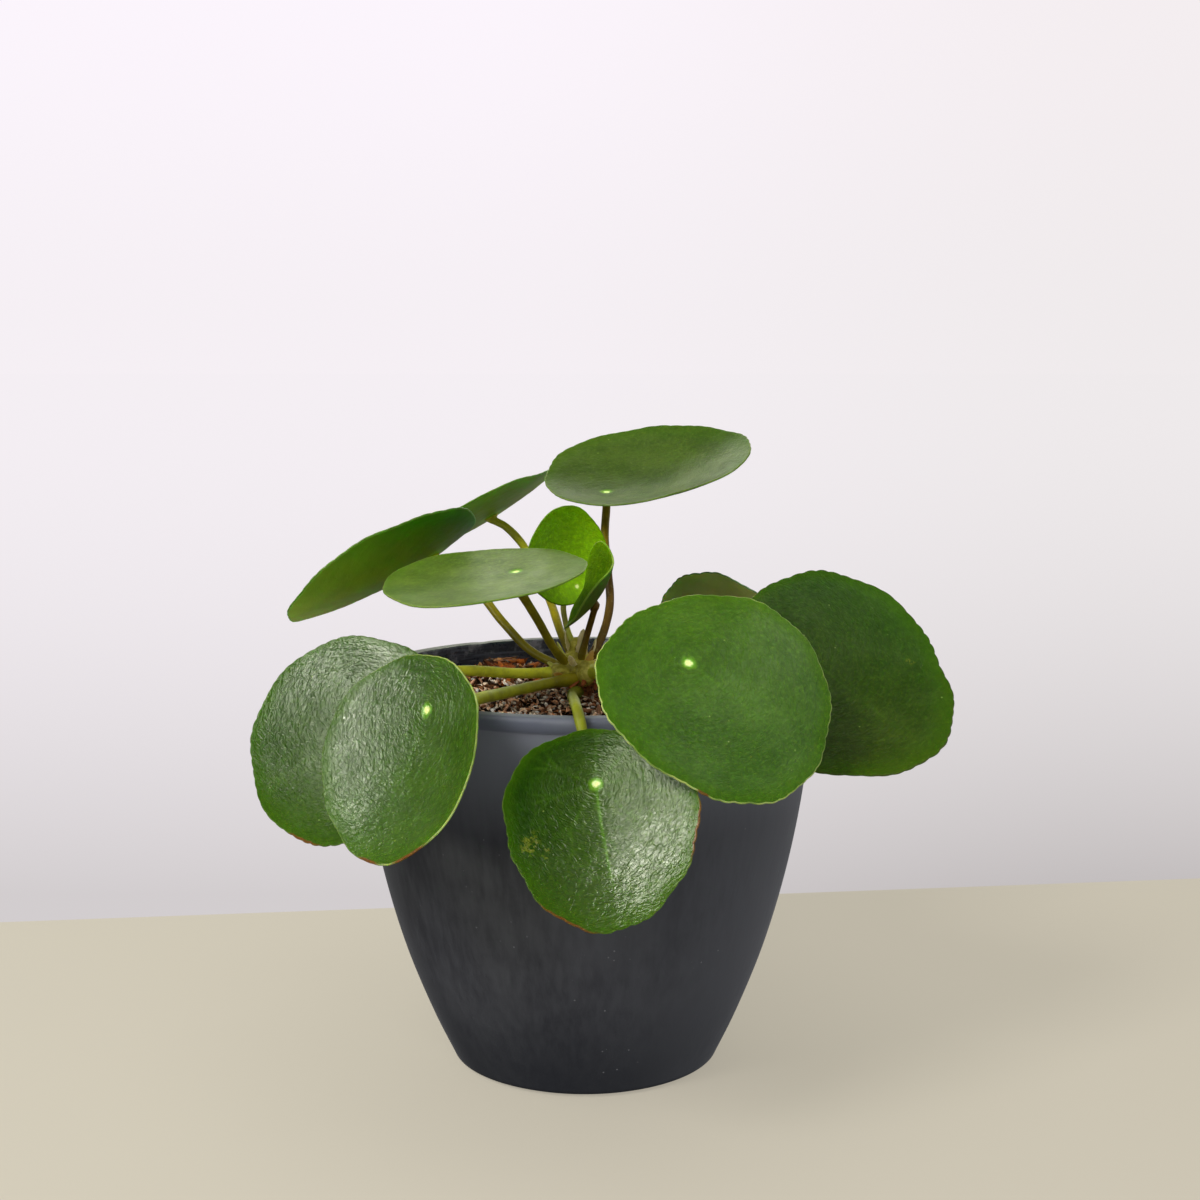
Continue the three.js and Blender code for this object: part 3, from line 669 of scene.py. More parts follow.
def make_pot():
    """The turned wall, slightly uneven, with a small nick in the rim at the back left."""
    profile = pot_profile()
    points, faces = turned(profile, POT_SIDES)
    swell = 0.12 * height_in(wave_field(3, 24, 60, 200), points)
    radius = np.hypot(points[:, 0], points[:, 1])
    share = np.where(radius > 38, 1 + swell / np.maximum(radius, 1), 1)
    points[:, 0] *= share
    points[:, 1] *= share
    at_back_rim = (points[:, 1] > 40) & (points[:, 2] > POT_HEIGHT - 1)
    nick = np.exp(-(((points[:, 0] - NICK_X) / NICK_HALF_WIDTH) ** 2)) * at_back_rim
    points[:, 2] -= NICK_DEPTH * nick
    # Faces past the top of the rim are the inside
    top_rank = max(k for k, (_, z) in enumerate(profile) if z >= POT_HEIGHT - 0.01)
    sides_first = POT_SIDES * np.arange(len(profile) - 1)
    rank = np.searchsorted(sides_first, np.arange(len(faces)), side="right")
    inside = rank > top_rank
    return new_piece("pot_shell", points, faces, [pot_outside_material(), pot_inside_material()],
                     ["pot"], face_material=inside.astype(int))


# Potting mix

def soil_height(x, y):
    """The ground's height: low ripples, a rise at the stem and a heap at the back left."""
    height = SOIL_EDGE
    for (top, width), (x0, y0) in ((STEM_RISE, (0, 0)), (HEAP_RISE, HEAP_PLACE)):
        height = height + top * np.exp(-((np.hypot(x - x0, y - y0) / width) ** 2))
    return height + 0.6 * np.sin(0.31 * x + 0.12 * y) + 0.5 * np.cos(0.27 * y - 0.17 * x)


def make_soil():
    """The ground between the chips: closed, down to the pot's floor, with a crumbly top."""
    wall = smooth_path([(r, z, 0) for r, z in POT_WALL], 4)[:, :2]
    inset = WALL_THICKNESS + SEAT
    side = [(r - inset - 0.1, z) for r, z in wall if FLOOR_THICKNESS + 2 < z < SOIL_EDGE - 6]
    top = [(SOIL_RADIUS * k / SOIL_RINGS, POT_HEIGHT) for k in range(SOIL_RINGS, 0, -1)]
    low = FLOOR_THICKNESS + SEAT
    profile = [(0, low), (POT_WALL[0][0] - inset, low), *side, *top, (0, POT_HEIGHT)]
    points, faces = turned(profile, SOIL_SIDES)
    crown = points[:, 2] > POT_HEIGHT - 0.01
    ground = points[crown]
    rough = 0.7 * height_in(wave_field(5, 40, 3, 14), ground)
    crumbly = 0.5 * height_in(wave_field(6, 60, 1.6, 4), ground)
    points[crown, 2] = soil_height(ground[:, 0], ground[:, 1]) + rough + crumbly - 1.2
    return new_piece("soil_ground", points, faces, [soil_material()], ["potting_mix"])


CHIP_TINTS = [
    (0.85, 0.48, 0.29), (0.58, 0.28, 0.145), (1.0, 0.67, 0.43), (0.135, 0.05, 0.017),
    (0.38, 0.155, 0.065), (1.0, 0.86, 0.66), (0.035, 0.013, 0.005),
]
HEAP_TINTS = [(0.44, 0.115, 0.016), (0.22, 0.057, 0.012), (0.62, 0.28, 0.08), (0.06, 0.02, 0.007)]
FLECK_TINTS = [(0.90, 0.80, 0.66), (0.80, 0.62, 0.44), (0.95, 0.92, 0.86)]

# Loose bits: sizes from and to, tints with how often each is drawn, lift over the ground.
# The heap has a place, its middle and its spread both ways. The others lie all over the ground.
BITS = {
    "soil_chips": dict(
        seed=21, count=2700, length=(1.8, 5.2), width=(0.6, 1.7), thickness=(0.3, 0.8), lift=(-0.6, 0.8),
        tints=CHIP_TINTS, weights=(4, 2, 4, 4, 3, 3, 7), sections=5, sides=6,
    ),
    "soil_crumbs": dict(
        seed=22, count=2200, length=(1.0, 2.4), width=(0.7, 1.6), thickness=(0.6, 1.3), lift=(-0.9, 0.5),
        tints=CHIP_TINTS, weights=(2, 3, 1, 4, 4, 0, 4),
    ),
    "soil_flecks": dict(
        seed=23, count=1300, length=(0.8, 2.4), width=(0.6, 1.6), thickness=(0.6, 1.2), lift=(-0.2, 1.0),
        tints=FLECK_TINTS, weights=(3, 3, 1),
    ),
    "bark_heap": dict(
        seed=24, count=150, length=(4, 9), width=(1.5, 3.5), thickness=(0.7, 1.6), lift=(-0.3, 1.6),
        tints=HEAP_TINTS, weights=(4, 3, 2, 2), place=(*HEAP_PLACE, 8, 4.5),
    ),
}
BIT_PITCH = 0.45
BIT_ROLL = 0.6
BITS_REACH = SOIL_RADIUS + 0.3
BITS_UNDER_RIM = 1.5
STEM_CLEAR = 6.5


def rotated(points, angles, i, j):
    """The points of each bit turned by its own angle from axis i to axis j."""
    cos, sin = np.cos(angles)[:, None, None], np.sin(angles)[:, None, None]
    moved = points.copy()
    moved[..., i] = points[..., i] * cos - points[..., j] * sin
    moved[..., j] = points[..., i] * sin + points[..., j] * cos
    return moved


def bit_points(draw, centres, lengths, widths, thicknesses, bends, sections, sides):
    """Bent slivers that lie every way round: points in bits x sections x sides."""
    count = len(centres)
    run = np.linspace(-0.5, 0.5, sections)[None, :, None]
    taper = np.sqrt(np.clip(1 - (2 * run) ** 4, 0.06, 1))
    angles = 2 * np.pi * (np.arange(sides) + 0.25) / sides
    grow = 1 + draw.uniform(-0.25, 0.25, (count, sections, sides))
    curl = bends[:, None, None] * (4 * run ** 2 - 0.4)
    x = np.broadcast_to(run, grow.shape) * lengths[:, None, None]
    y = np.cos(angles) * taper * grow * widths[:, None, None] / 2 + curl * 0.6
    z = np.sin(angles) * taper * grow * thicknesses[:, None, None] / 2 + curl
    points = np.stack([x, y, z], axis=-1)
    spin = draw.uniform(0, 2 * np.pi, count)
    pitch = draw.normal(0, BIT_PITCH, count)
    roll = draw.normal(0, BIT_ROLL, count)
    for turns, i, j in ((roll, 1, 2), (pitch, 0, 2), (spin, 0, 1)):
        points = rotated(points, turns, i, j)
    return points + centres[:, None, None, :]


def bit_faces(count, sections, sides):
    """The faces of all bits, each closed by a flat face at both ends."""
    one = [tuple(map(int, f)) for k in range(sections - 1) for f in band((k + 1) * sides, k * sides, sides)]
    one.append(tuple(range(sides - 1, -1, -1)))
    one.append(tuple((sections - 1) * sides + k for k in range(sides)))
    return [tuple(i + c * sections * sides for i in f) for c in range(count) for f in one]


def scattered(draw, count, reach, clear, lift):
    """Places spread evenly over the soil, clear of the stem, with each one's length kept off the wall."""
    radius = np.sqrt(draw.uniform((clear / SOIL_RADIUS) ** 2, 1, count)) * (SOIL_RADIUS - 0.6) - reach
    radius = np.maximum(radius, clear)
    angle = draw.uniform(0, 2 * np.pi, count)
    x, y = radius * np.cos(angle), radius * np.sin(angle)
    return np.stack([x, y, soil_height(x, y) + lift], axis=1)


def make_bits(name, seed, count, length, width, thickness, lift, tints, weights, place=None,
              sections=4, sides=5):
    """Loose bits, each in one tint of its own, kept inside the pot's wall and under its rim."""
    draw = np.random.default_rng(seed)
    lengths = draw.uniform(*length, count)
    widths = draw.uniform(*width, count)
    thicknesses = draw.uniform(*thickness, count)
    rise = draw.uniform(*lift, count)
    if place is None:
        centres = scattered(draw, count, lengths * 0.5, STEM_CLEAR, rise)
    else:
        x = place[0] + draw.normal(0, place[2], count)
        y = place[1] + draw.normal(0, place[3], count)
        centres = np.stack([x, y, soil_height(x, y) + rise], axis=1)
    bends = draw.normal(0, 0.12, count) * lengths
    points = bit_points(draw, centres, lengths, widths, thicknesses, bends, sections, sides).reshape(-1, 3)
    weights = np.asarray(weights, float)
    pick = draw.choice(len(tints), count, p=weights / weights.sum())
    shade = draw.uniform(0.45, 1.45, (count, 1))
    colours = np.repeat(np.array(tints)[pick] * shade, sections * sides, axis=0)
    far = np.hypot(points[:, 0], points[:, 1])
    pull = np.minimum(1, BITS_REACH / np.maximum(far, 1))
    points[:, 0] *= pull
    points[:, 1] *= pull
    points[:, 2] = np.minimum(points[:, 2], POT_HEIGHT - BITS_UNDER_RIM)
    return new_piece(name, points, bit_faces(count, sections, sides), [CHIP_SKIN],
                     ["potting_mix"], tints=colours)


# Leaves

def leaf_frame(leaf):
    """The blade's normal, and its directions along and across the midrib."""
    tilt, lean, turn = (math.radians(leaf[key]) for key in ("tilt", "lean", "turn"))
    normal = np.array([math.sin(tilt) * math.sin(lean), -math.sin(tilt) * math.cos(lean), math.cos(tilt)])
    downhill = np.array([math.cos(tilt) * math.sin(lean), -math.cos(tilt) * math.cos(lean), -math.sin(tilt)])
    along = downhill * math.cos(turn) + np.cross(normal, downhill) * math.sin(turn)
    return normal, along, np.cross(normal, along)


def blade_rings(finest):
    """(share, count) of the rings from the joint to the rim, with more points on the longer ones."""
    shares = [0.02, 0.045, 0.075, *np.linspace(0.105, 1, 50)]
    steps = ((0.06, 16), (0.12, 8), (0.25, 4), (0.5, 2), (2, 1))
    return [(s, finest // next(divide for limit, divide in steps if s < limit)) for s in shares]


def ring_faces(rings, first):
    """Faces between rings of equal counts, or of which the outer has twice as many points."""
    faces = [(first, first + 1 + k, first + 1 + (k + 1) % rings[0][1]) for k in range(rings[0][1])]
    start = first + 1
    for (_, n), (_, m) in zip(rings, rings[1:]):
        after = start + n
        if n == m:
            faces.extend(band(start, after, n))
        else:
            for k in range(n):
                a, a2 = start + k, start + (k + 1) % n
                b, b1, b2 = after + 2 * k, after + 2 * k + 1, after + (2 * k + 2) % m
                faces.extend([(a, b, b1), (a, b1, a2), (a2, b1, b2)])
        start = after
    return faces


# Directions of the veins from the joint, the midrib first
VEIN_WAYS = (0, 38, -36, 78, -80, 122, -118, 170)


def vein_strength(u, v, radius, seed, visible):
    """How strongly the veins show at points of the blade given from its joint. Each vein has two forks."""
    draw = np.random.default_rng(seed)
    far = np.hypot(u, v)
    angle = np.arctan2(v, u)
    total = np.zeros(len(u))
    for k, way in enumerate(VEIN_WAYS):
        way = math.radians(way + draw.uniform(-5, 5))
        bow = draw.uniform(-0.12, 0.12)
        reach = radius * (1.15 if k == 0 else draw.uniform(0.6, 0.95))
        for fork in (-1, 0, 1):
            start = draw.uniform(0.35, 0.5) * radius if fork else 0
            spread = fork * 0.35 * np.clip(far / radius - start / radius, 0, None) / 0.6
            off = far * np.abs(np.angle(np.exp(1j * (angle - way - bow * far / radius - spread))))
            width = 0.4 - 0.15 * far / radius
            shown = smooth_step(far, start + 0.5, start + 4) * smooth_step(far, reach, reach * 0.7)
            share = 1 if k == 0 and not fork else 0.2
            total = np.maximum(total, np.exp(-((off / width) ** 2)) * shown * share)
    return total * visible


def outline(leaf, number, angle, share):
    """How far the blade reaches from its middle each way, with its waves and, near the rim, its teeth."""
    (oval, oval_way), (egg, egg_way) = leaf["oval"], leaf["egg"]
    depth, waves = leaf["scallop"]
    reach = (leaf["radius"] + oval * np.cos(2 * (angle - math.radians(oval_way)))
             + egg * np.cos(3 * (angle - math.radians(egg_way)))
             + depth * np.cos(waves * angle + number))
    tooth, teeth = leaf["teeth"]
    warp = 0.5 * np.sin(3 * angle + number) + 0.6 * np.sin(7 * angle + 2 * number)
    uneven = 0.75 + 0.25 * np.sin(5 * angle + 3 * number)
    notch = tooth * uneven * (np.abs(np.cos(teeth * angle / 2 + warp)) ** 0.7 - 1)
    return reach - HALF_RIM + notch * share**8


def smooth_form(leaf, u, v):
    """How the droop and the fold lift each point, and the slopes that they give along and across."""
    radius, middle = leaf["radius"], leaf["offset"]
    fall_along, fall_across = leaf["droop"]
    fall = (fall_along * ((u - middle) ** 2 - middle**2) + fall_across * v**2) / radius**2
    height, roundness = leaf["fold"]
    valley = np.hypot(v, roundness)
    lift = height * (valley - roundness) / radius - fall
    slope_along = -2 * fall_along * (u - middle) / radius**2
    slope_across = -2 * fall_across * v / radius**2 + height * v / valley / radius
    return lift, slope_along, slope_across


def fine_form(leaf, number, u, v, angle, share, vein, scale):
    """The ruffled rim, low swells, ridges that run round the joint, sunken veins, and the joint's dimple."""
    far = np.hypot(u, v)
    height, count = leaf["ruffle"]
    ruffle = height * share**3 * np.cos(count * angle + 2 * number)
    swell = height_in(wave_field(100 + number, 30, 12, 30), np.stack([u, v, np.zeros(len(u))], axis=1))
    ridges = height_in(wave_field(200 + number, 90, 2.0, 4.5), np.stack([far, 0.6 * u, 0.6 * v], axis=1))
    calm = smooth_step(far, 1, 6) * (1 - 0.6 * smooth_step(share, 0.93, 1))
    relief = calm * scale * leaf["relief"] * (0.10 * swell + 0.038 * ridges)
    dimple = 0.35 * np.exp(-((far / 1.8) ** 2)) * scale
    return ruffle + relief - 0.1 * vein * scale - dimple


def blade_layer(leaf, number, rings):
    """The blade's middle layer at every ring point: points, normals and what the materials read."""
    normal, along, across = leaf_frame(leaf)
    share = np.concatenate([[0.0], *(np.full(n, s) for s, n in rings)])
    angle = np.concatenate([[0.0], *(2 * np.pi * np.arange(n) / n for _, n in rings)])
    reach = outline(leaf, number, angle, share)
    u = share * (leaf["offset"] + reach * np.cos(angle))
    v = share * reach * np.sin(angle)
    scale = min(1, leaf["radius"] / FULL_DETAIL_RADIUS)
    vein = vein_strength(u, v, leaf["radius"], 40 + number, leaf["veins"])
    lift, slope_along, slope_across = smooth_form(leaf, u, v)
    lift = lift + fine_form(leaf, number, u, v, angle, share, vein, scale)
    points = np.array(leaf["joint"]) + np.outer(u, along) + np.outer(v, across) + np.outer(lift, normal)
    normals = unit(normal - np.outer(slope_along, along) - np.outer(slope_across, across))
    far = np.hypot(u, v)
    side = 0.5 + 0.5 * np.clip((np.cos(angle - math.radians(leaf["tone_and_light_way"])) * share) * 1.2, -1, 1)
    near_gloss, far_gloss = leaf["gloss"]
    near_tone_and_light, far_tone_and_light = leaf["tone_and_light"]
    looks = {
        "to_rim": share,
        "from_joint": far / scale,
        "vein": vein,
        "relief": np.full(len(u), leaf["relief"]),
        "wear": wear_at(number, angle, share),
        # The edge's paleness, swung paler toward one side as a painted highlight
        "rim": leaf["rim"] + leaf["rim_swing"] * np.cos(angle - math.radians(leaf["rim_way"])),
        "gloss": near_gloss * side + far_gloss * (1 - side),
        "faded": faded_at(number, angle, share, leaf["radius"]),
        "blade": np.stack([far, u, v], axis=1),
    }
    # The tint toward and away from the given way: the leaf's own tones, with painted light and shade on some
    # leaves
    tones_and_light = np.outer(1 - side, far_tone_and_light) + np.outer(side, near_tone_and_light)
    return points, normals, looks, tones_and_light


# Worn edges: leaf number, middle and half width of the stretch in degrees, depth as a share of the radius
WEAR = [
    (7, -14, 9, 0.010), (9, -30, 16, 0.007), (9, 72, 16, 0.007), (8, 8, 8, 0.008), (8, 38, 10, 0.006),
    (10, -58, 3, 0.010),
]

# Yellowed, mottled spots: leaf number, direction in degrees, share of the way to the rim, size in mm
FADED = [(9, -76, 0.80, 3.0), (9, -60, 0.72, 1.5), (10, -20, 0.72, 0.8), (11, 60, 0.8, 1.2)]


def faded_at(number, angle, share, radius):
    """How faded the blade is at each point, from 0 to 1."""
    total = np.zeros(len(angle))
    for leaf_number, way, far, size in FADED:
        if leaf_number == number:
            way = math.radians(way)
            off = radius * np.hypot(share * np.cos(angle) - far * math.cos(way),
                                    share * np.sin(angle) - far * math.sin(way))
            total += np.exp(-((off / size) ** 2))
    return total


def wear_at(number, angle, share):
    """How worn the blade's edge is at each point, from 0 to 1."""
    total = np.zeros(len(angle))
    for leaf_number, middle, half, depth in WEAR:
        if leaf_number == number:
            off = np.degrees(np.abs(np.angle(np.exp(1j * (angle - math.radians(middle))))))
            total += np.exp(-((off / half) ** 2)) * smooth_step(share, 1 - depth * 1.5, 1 - depth * 0.5)
    return total


def make_leaf(key, leaf):
    """A closed blade: upper and lower face at both sides of the middle layer, joined by a rounded edge."""
    number = int(key)
    young = leaf["radius"] < YOUNG_RADIUS
    rings = blade_rings(YOUNG_BLADE_POINTS if young else BLADE_POINTS)
    middle, normals, looks, tones_and_light = blade_layer(leaf, number, rings)
    half = HALF_MIDDLE + (HALF_RIM - HALF_MIDDLE) * looks["to_rim"] ** 3
    top = middle + normals * half[:, None]
    under = middle - normals * half[:, None]
    count = rings[-1][1]
    last = len(middle) - count
    outward = unit(middle[last:] - middle[last - count:last])
    edge = []
    for bend in RIM_BENDS:
        cos, sin = math.cos(math.radians(bend)), math.sin(math.radians(bend))
        edge.append(middle[last:] + HALF_RIM * (outward * cos + normals[last:] * sin))
    top_faces = ring_faces(rings, 0)
    under_faces = [tuple(f)[::-1] for f in ring_faces(rings, len(middle))]
    starts = [last, *(2 * len(middle) + k * count for k in range(len(edge))), len(middle) + last]
    rim_faces = [f for a, b in zip(starts, starts[1:]) for f in band(a, b, count)]
    index = [0] * (len(top_faces) + len(rim_faces)) + [1] * len(under_faces)

    def everywhere(values):
        return np.concatenate([values, values, *[values[last:]] * len(edge)])

    return new_piece(
        f"blade_{key}", np.vstack([top, under, *edge]), [*top_faces, *rim_faces, *under_faces],
        YOUNG_SKINS if young else LEAF_SKINS, [f"leaf_{key}"],
        face_material=index, values={k: everywhere(x) for k, x in looks.items()}, tints=everywhere(tones_and_light),
    )


def joint_normal(leaf):
    """The blade's normal at its joint, where the droop tips it."""
    normal, along, _ = leaf_frame(leaf)
    slope = 2 * leaf["droop"][0] * leaf["offset"] / leaf["radius"] ** 2
    return unit(normal - slope * along)


def make_stalk(key, leaf):
    """A tube from the stem to just under the blade, thicker at its foot and flared at its top."""
    up = joint_normal(leaf)
    end = np.array(leaf["joint"]) - up * (HALF_MIDDLE + 0.15)
    before = np.array(leaf["joint"]) - up * (HALF_MIDDLE + SEAT + leaf["rise"])
    path = smooth_path([*leaf["path"], before, end], 0.8)
    share = np.concatenate([[0], np.cumsum(np.linalg.norm(np.diff(path, axis=0), axis=1))])
    length = share[-1]
    share = share / length
    base = 0.28 * np.exp(-((share * length / 5) ** 2))
    flare = 0.9 * np.exp(-(((1 - share) * length / 1.1) ** 2))
    lump = 0.03 * height_in(wave_field(500 + int(key), 20, 6, 20), path)
    radii = leaf["stalk_radius"] * (0.98 + base + flare + lump)
    points, faces = tube(path, radii, STALK_SIDES)
    low, mid, high = (np.array(STALK_TINTS[t]) for t in leaf["stalk_tint"])
    along = np.concatenate([np.repeat(share, STALK_SIDES), [0, 1]])[:, None]
    tints = np.where(along < 0.5, low + (mid - low) * along * 2, mid + (high - mid) * (along * 2 - 1))
    return new_piece(f"petiole_{key}", points, faces, [STALK_SKIN], [f"stalk_{key}"], tints=tints)


# Stem

# The knots' middles and half sizes, the trunk's path and radii, and how finely they are melted together
KNOTS = [
    ((-2.5, -1, 119.5), (4.8, 4.6, 5)),
    ((1, -5, 117.5), (3.6, 3.6, 4.4)),
    ((-7.5, -3.5, 117.5), (3.4, 3, 3.2)),
    ((-2, -0.5, 124), (2.8, 2.8, 4)),
    ((2, 1.5, 118.5), (3.4, 3.4, 3.6)),
]
TRUNK_PATH = [(-1.5, -2, 103), (-1.5, -2, 108), (-1.5, -2, 113), (-1.5, -2, 119)]
TRUNK_RADII = [4.3, 4.3, 4.0, 3.8]
MELT_STEP = 0.4


def melted(points, faces):
    """One body in place of several that overlap: points, their normals and faces."""
    mesh = bpy.data.meshes.new("crown_parts")
    mesh.from_pydata((points * MM).tolist(), [], faces)
    rough = add_object("crown_parts", mesh)
    melt = rough.modifiers.new("melt", "REMESH")
    melt.mode = "VOXEL"
    melt.voxel_size = MELT_STEP * MM
    soften = rough.modifiers.new("soften", "SMOOTH")
    soften.iterations = 4
    bpy.context.view_layer.update()
    result = rough.evaluated_get(bpy.context.evaluated_depsgraph_get())
    done = result.to_mesh()
    read = []
    for field in ("co", "normal"):
        numbers = np.zeros(len(done.vertices) * 3, np.float32)
        done.vertices.foreach_get(field, numbers)
        read.append(numbers.reshape(-1, 3))
    melted_faces = [list(p.vertices) for p in done.polygons]
    result.to_mesh_clear()
    bpy.data.objects.remove(rough)
    return read[0] / MM, read[1], melted_faces


def make_crown():
    """Trunk and knots melted into one lumpy body, with rings on the trunk."""
    ball_profile = [(0, -1), *((math.sin(a), -math.cos(a)) for a in np.linspace(0.2, 2.94, 12)), (0, 1)]
    ball, ball_faces = turned(ball_profile, 20)
    trunk = tube(np.array(TRUNK_PATH, float), np.array(TRUNK_RADII), 24)
    knots = [(ball * size + place, ball_faces) for place, size in KNOTS]
    points, normals, faces = melted(*joined([trunk, *knots]))
    bumps = 0.22 * height_in(wave_field(11, 50, 1.5, 5), points)
    rings = 0.12 * np.sin(points[:, 2] * 2 * math.pi / 1.6) * smooth_step(points[:, 2], 117, 114)
    return new_piece("stem_crown", points + normals * (bumps + rings)[:, None], faces, [crown_material()],
                     ["stem"])


# Papery scales: root, tip, width, how far it bows outwards, tint
STRAW = (1.0, 0.86, 0.46)
TAN = (0.75, 0.46, 0.12)
PALE_GREEN = (0.74, 0.80, 0.20)
BARK = (0.36, 0.10, 0.025)
SCALES = [
    ((-1, -3, 122), (-0.5, -4.4, 131), 4.2, 0.8, STRAW),
    ((-5, -2.5, 120.5), (-8, -3.5, 127), 3.6, 0.7, PALE_GREEN),
    ((1.5, -1.5, 121.5), (3, -2, 127.5), 3.2, 0.6, STRAW),
    ((-4, 1, 122), (-5.5, 1.5, 129.5), 3.2, 0.6, STRAW),
    ((0.5, -4.5, 119.5), (2.2, -6.5, 125), 2.8, 0.5, TAN),
    ((-3, -4.5, 119), (-4.5, -7, 123.5), 2.6, 0.5, STRAW),
    ((3.5, -3, 118.5), (6, -4, 122), 2.6, 0.5, TAN),
    ((-8.5, -3, 118.5), (-11, -4.5, 121), 2.4, 0.4, PALE_GREEN),
    ((-6.5, -6, 116.5), (-9, -8.5, 118), 2.2, 0.4, TAN),
    ((0.5, -7, 116.5), (-1, -9.5, 114.5), 1.8, 0.3, BARK),
    ((1.5, -7, 116), (4.5, -8.5, 115), 1.6, 0.3, BARK),
    ((-2, -6.5, 116), (-4.5, -8.5, 113.5), 1.6, 0.3, BARK),
    ((3.5, -6, 116), (3, -8.5, 113), 1.8, 0.3, BARK),
    ((2.5, -5.5, 120.5), (6, -6.5, 122.5), 2.2, 0.5, STRAW),
    ((0, -6.5, 119.5), (3.5, -8, 120.5), 1.8, 0.3, PALE_GREEN),
]
SCALE_ROWS = 12
SCALE_COLUMNS = 9
SCALE_HALF_THICKNESS = 0.12
STEM_MIDDLE = (-1.5, -1.5)


def one_scale(root, tip, width, bow, tint, seed):
    """A thin, cupped, pointed scale with a slightly torn edge."""
    draw = np.random.default_rng(seed)
    root, tip = np.array(root, float), np.array(tip, float)
    axis = unit(tip - root)
    out = unit(root - np.array([*STEM_MIDDLE, root[2] - 3]))
    side = unit(np.cross(axis, out))
    out = np.cross(side, axis)
    length = np.linalg.norm(tip - root)
    rows, columns = SCALE_ROWS, SCALE_COLUMNS
    s = np.linspace(0, 1, rows)
    half = width / 2 * np.sqrt(np.clip((1 - s) * (0.5 + 1.2 * s), 0.003, None)) * 1.15
    t = np.linspace(-1, 1, columns)
    torn = 1 + draw.uniform(-0.12, 0.12, (rows, 2))
    points = []
    for face in (1, -1):
        for k in range(rows):
            spread = t * half[k] * np.where(t < 0, torn[k, 0], torn[k, 1])
            cup = -0.45 * half[k] * t**2
            lean = bow * math.sin(math.pi * s[k]) + 0.4 * s[k] ** 2
            for across, sink in zip(spread, cup):
                height = lean + sink + face * SCALE_HALF_THICKNESS
                points.append(root + axis * length * s[k] + side * across + out * height)
    shade = draw.uniform(0.85, 1.1)
    return np.array(points), scale_faces(rows, columns), np.tile(np.array(tint) * shade, (len(points), 1))


def scale_faces(rows, columns):
    """Both faces of a scale and the thin edge round them."""
    def grid(f, k, j):
        return (f * rows + k) * columns + j

    faces = []
    for k in range(rows - 1):
        for j in range(columns - 1):
            faces.append((grid(0, k, j), grid(0, k, j + 1), grid(0, k + 1, j + 1), grid(0, k + 1, j)))
            faces.append((grid(1, k, j), grid(1, k + 1, j), grid(1, k + 1, j + 1), grid(1, k, j + 1)))
    border = [
        *((0, j) for j in range(columns)),
        *((k, columns - 1) for k in range(1, rows)),
        *((rows - 1, j) for j in range(columns - 2, -1, -1)),
        *((k, 0) for k in range(rows - 2, 0, -1)),
    ]
    for (k, j), (k2, j2) in zip(border, border[1:] + border[:1]):
        faces.append((grid(0, k2, j2), grid(0, k, j), grid(1, k, j), grid(1, k2, j2)))
    return faces


def make_scales():
    """All scales as one piece."""
    scales = [one_scale(*scale, 70 + k) for k, scale in enumerate(SCALES)]
    points, faces = joined([(some, some_faces) for some, some_faces, _ in scales])
    tints = np.vstack([some_tints for _, _, some_tints in scales])
    return new_piece("stem_scales", points, faces, [scale_material()], ["stem"], tints=tints)


# Studio

# The line where the beige floor ends: how far behind the pot's middle, and how it slants
FLOOR_EDGE = 146
FLOOR_EDGE_SLOPE = 0.12

# The floor reaches this far each way, and lies a little under the pot's foot
FLOOR_REACH = 20000
FLOOR_DEPTH = 0.2


def aim(place, target):
    """The rotation that points a light at a place."""
    way = np.array(target, float) - np.array(place, float)
    yaw = math.atan2(-way[0], way[1])
    pitch = math.atan2(way[2], math.hypot(way[0], way[1]))
    return (pitch + math.pi / 2, 0, yaw)


def add_camera():
    data = bpy.data.cameras.new("camera")
    data.lens = CAMERA_LENS
    data.sensor_width = CAMERA_SENSOR
    data.clip_start, data.clip_end = CAMERA_RANGE
    camera = add_object("camera", data)
    camera.location = np.array(CAMERA_PLACE) * MM
    camera.rotation_euler = (math.radians(90 - CAMERA_DIP), 0, 0)
    bpy.context.scene.camera = camera


def add_light(name, place, target, size, power, colour):
    data = bpy.data.lights.new(name, "AREA")
    data.shape = "RECTANGLE"
    data.size = data.size_y = size
    data.energy = power
    data.color = colour
    light = add_object(name, data)
    light.location = place
    light.rotation_euler = aim(place, target)
    return light


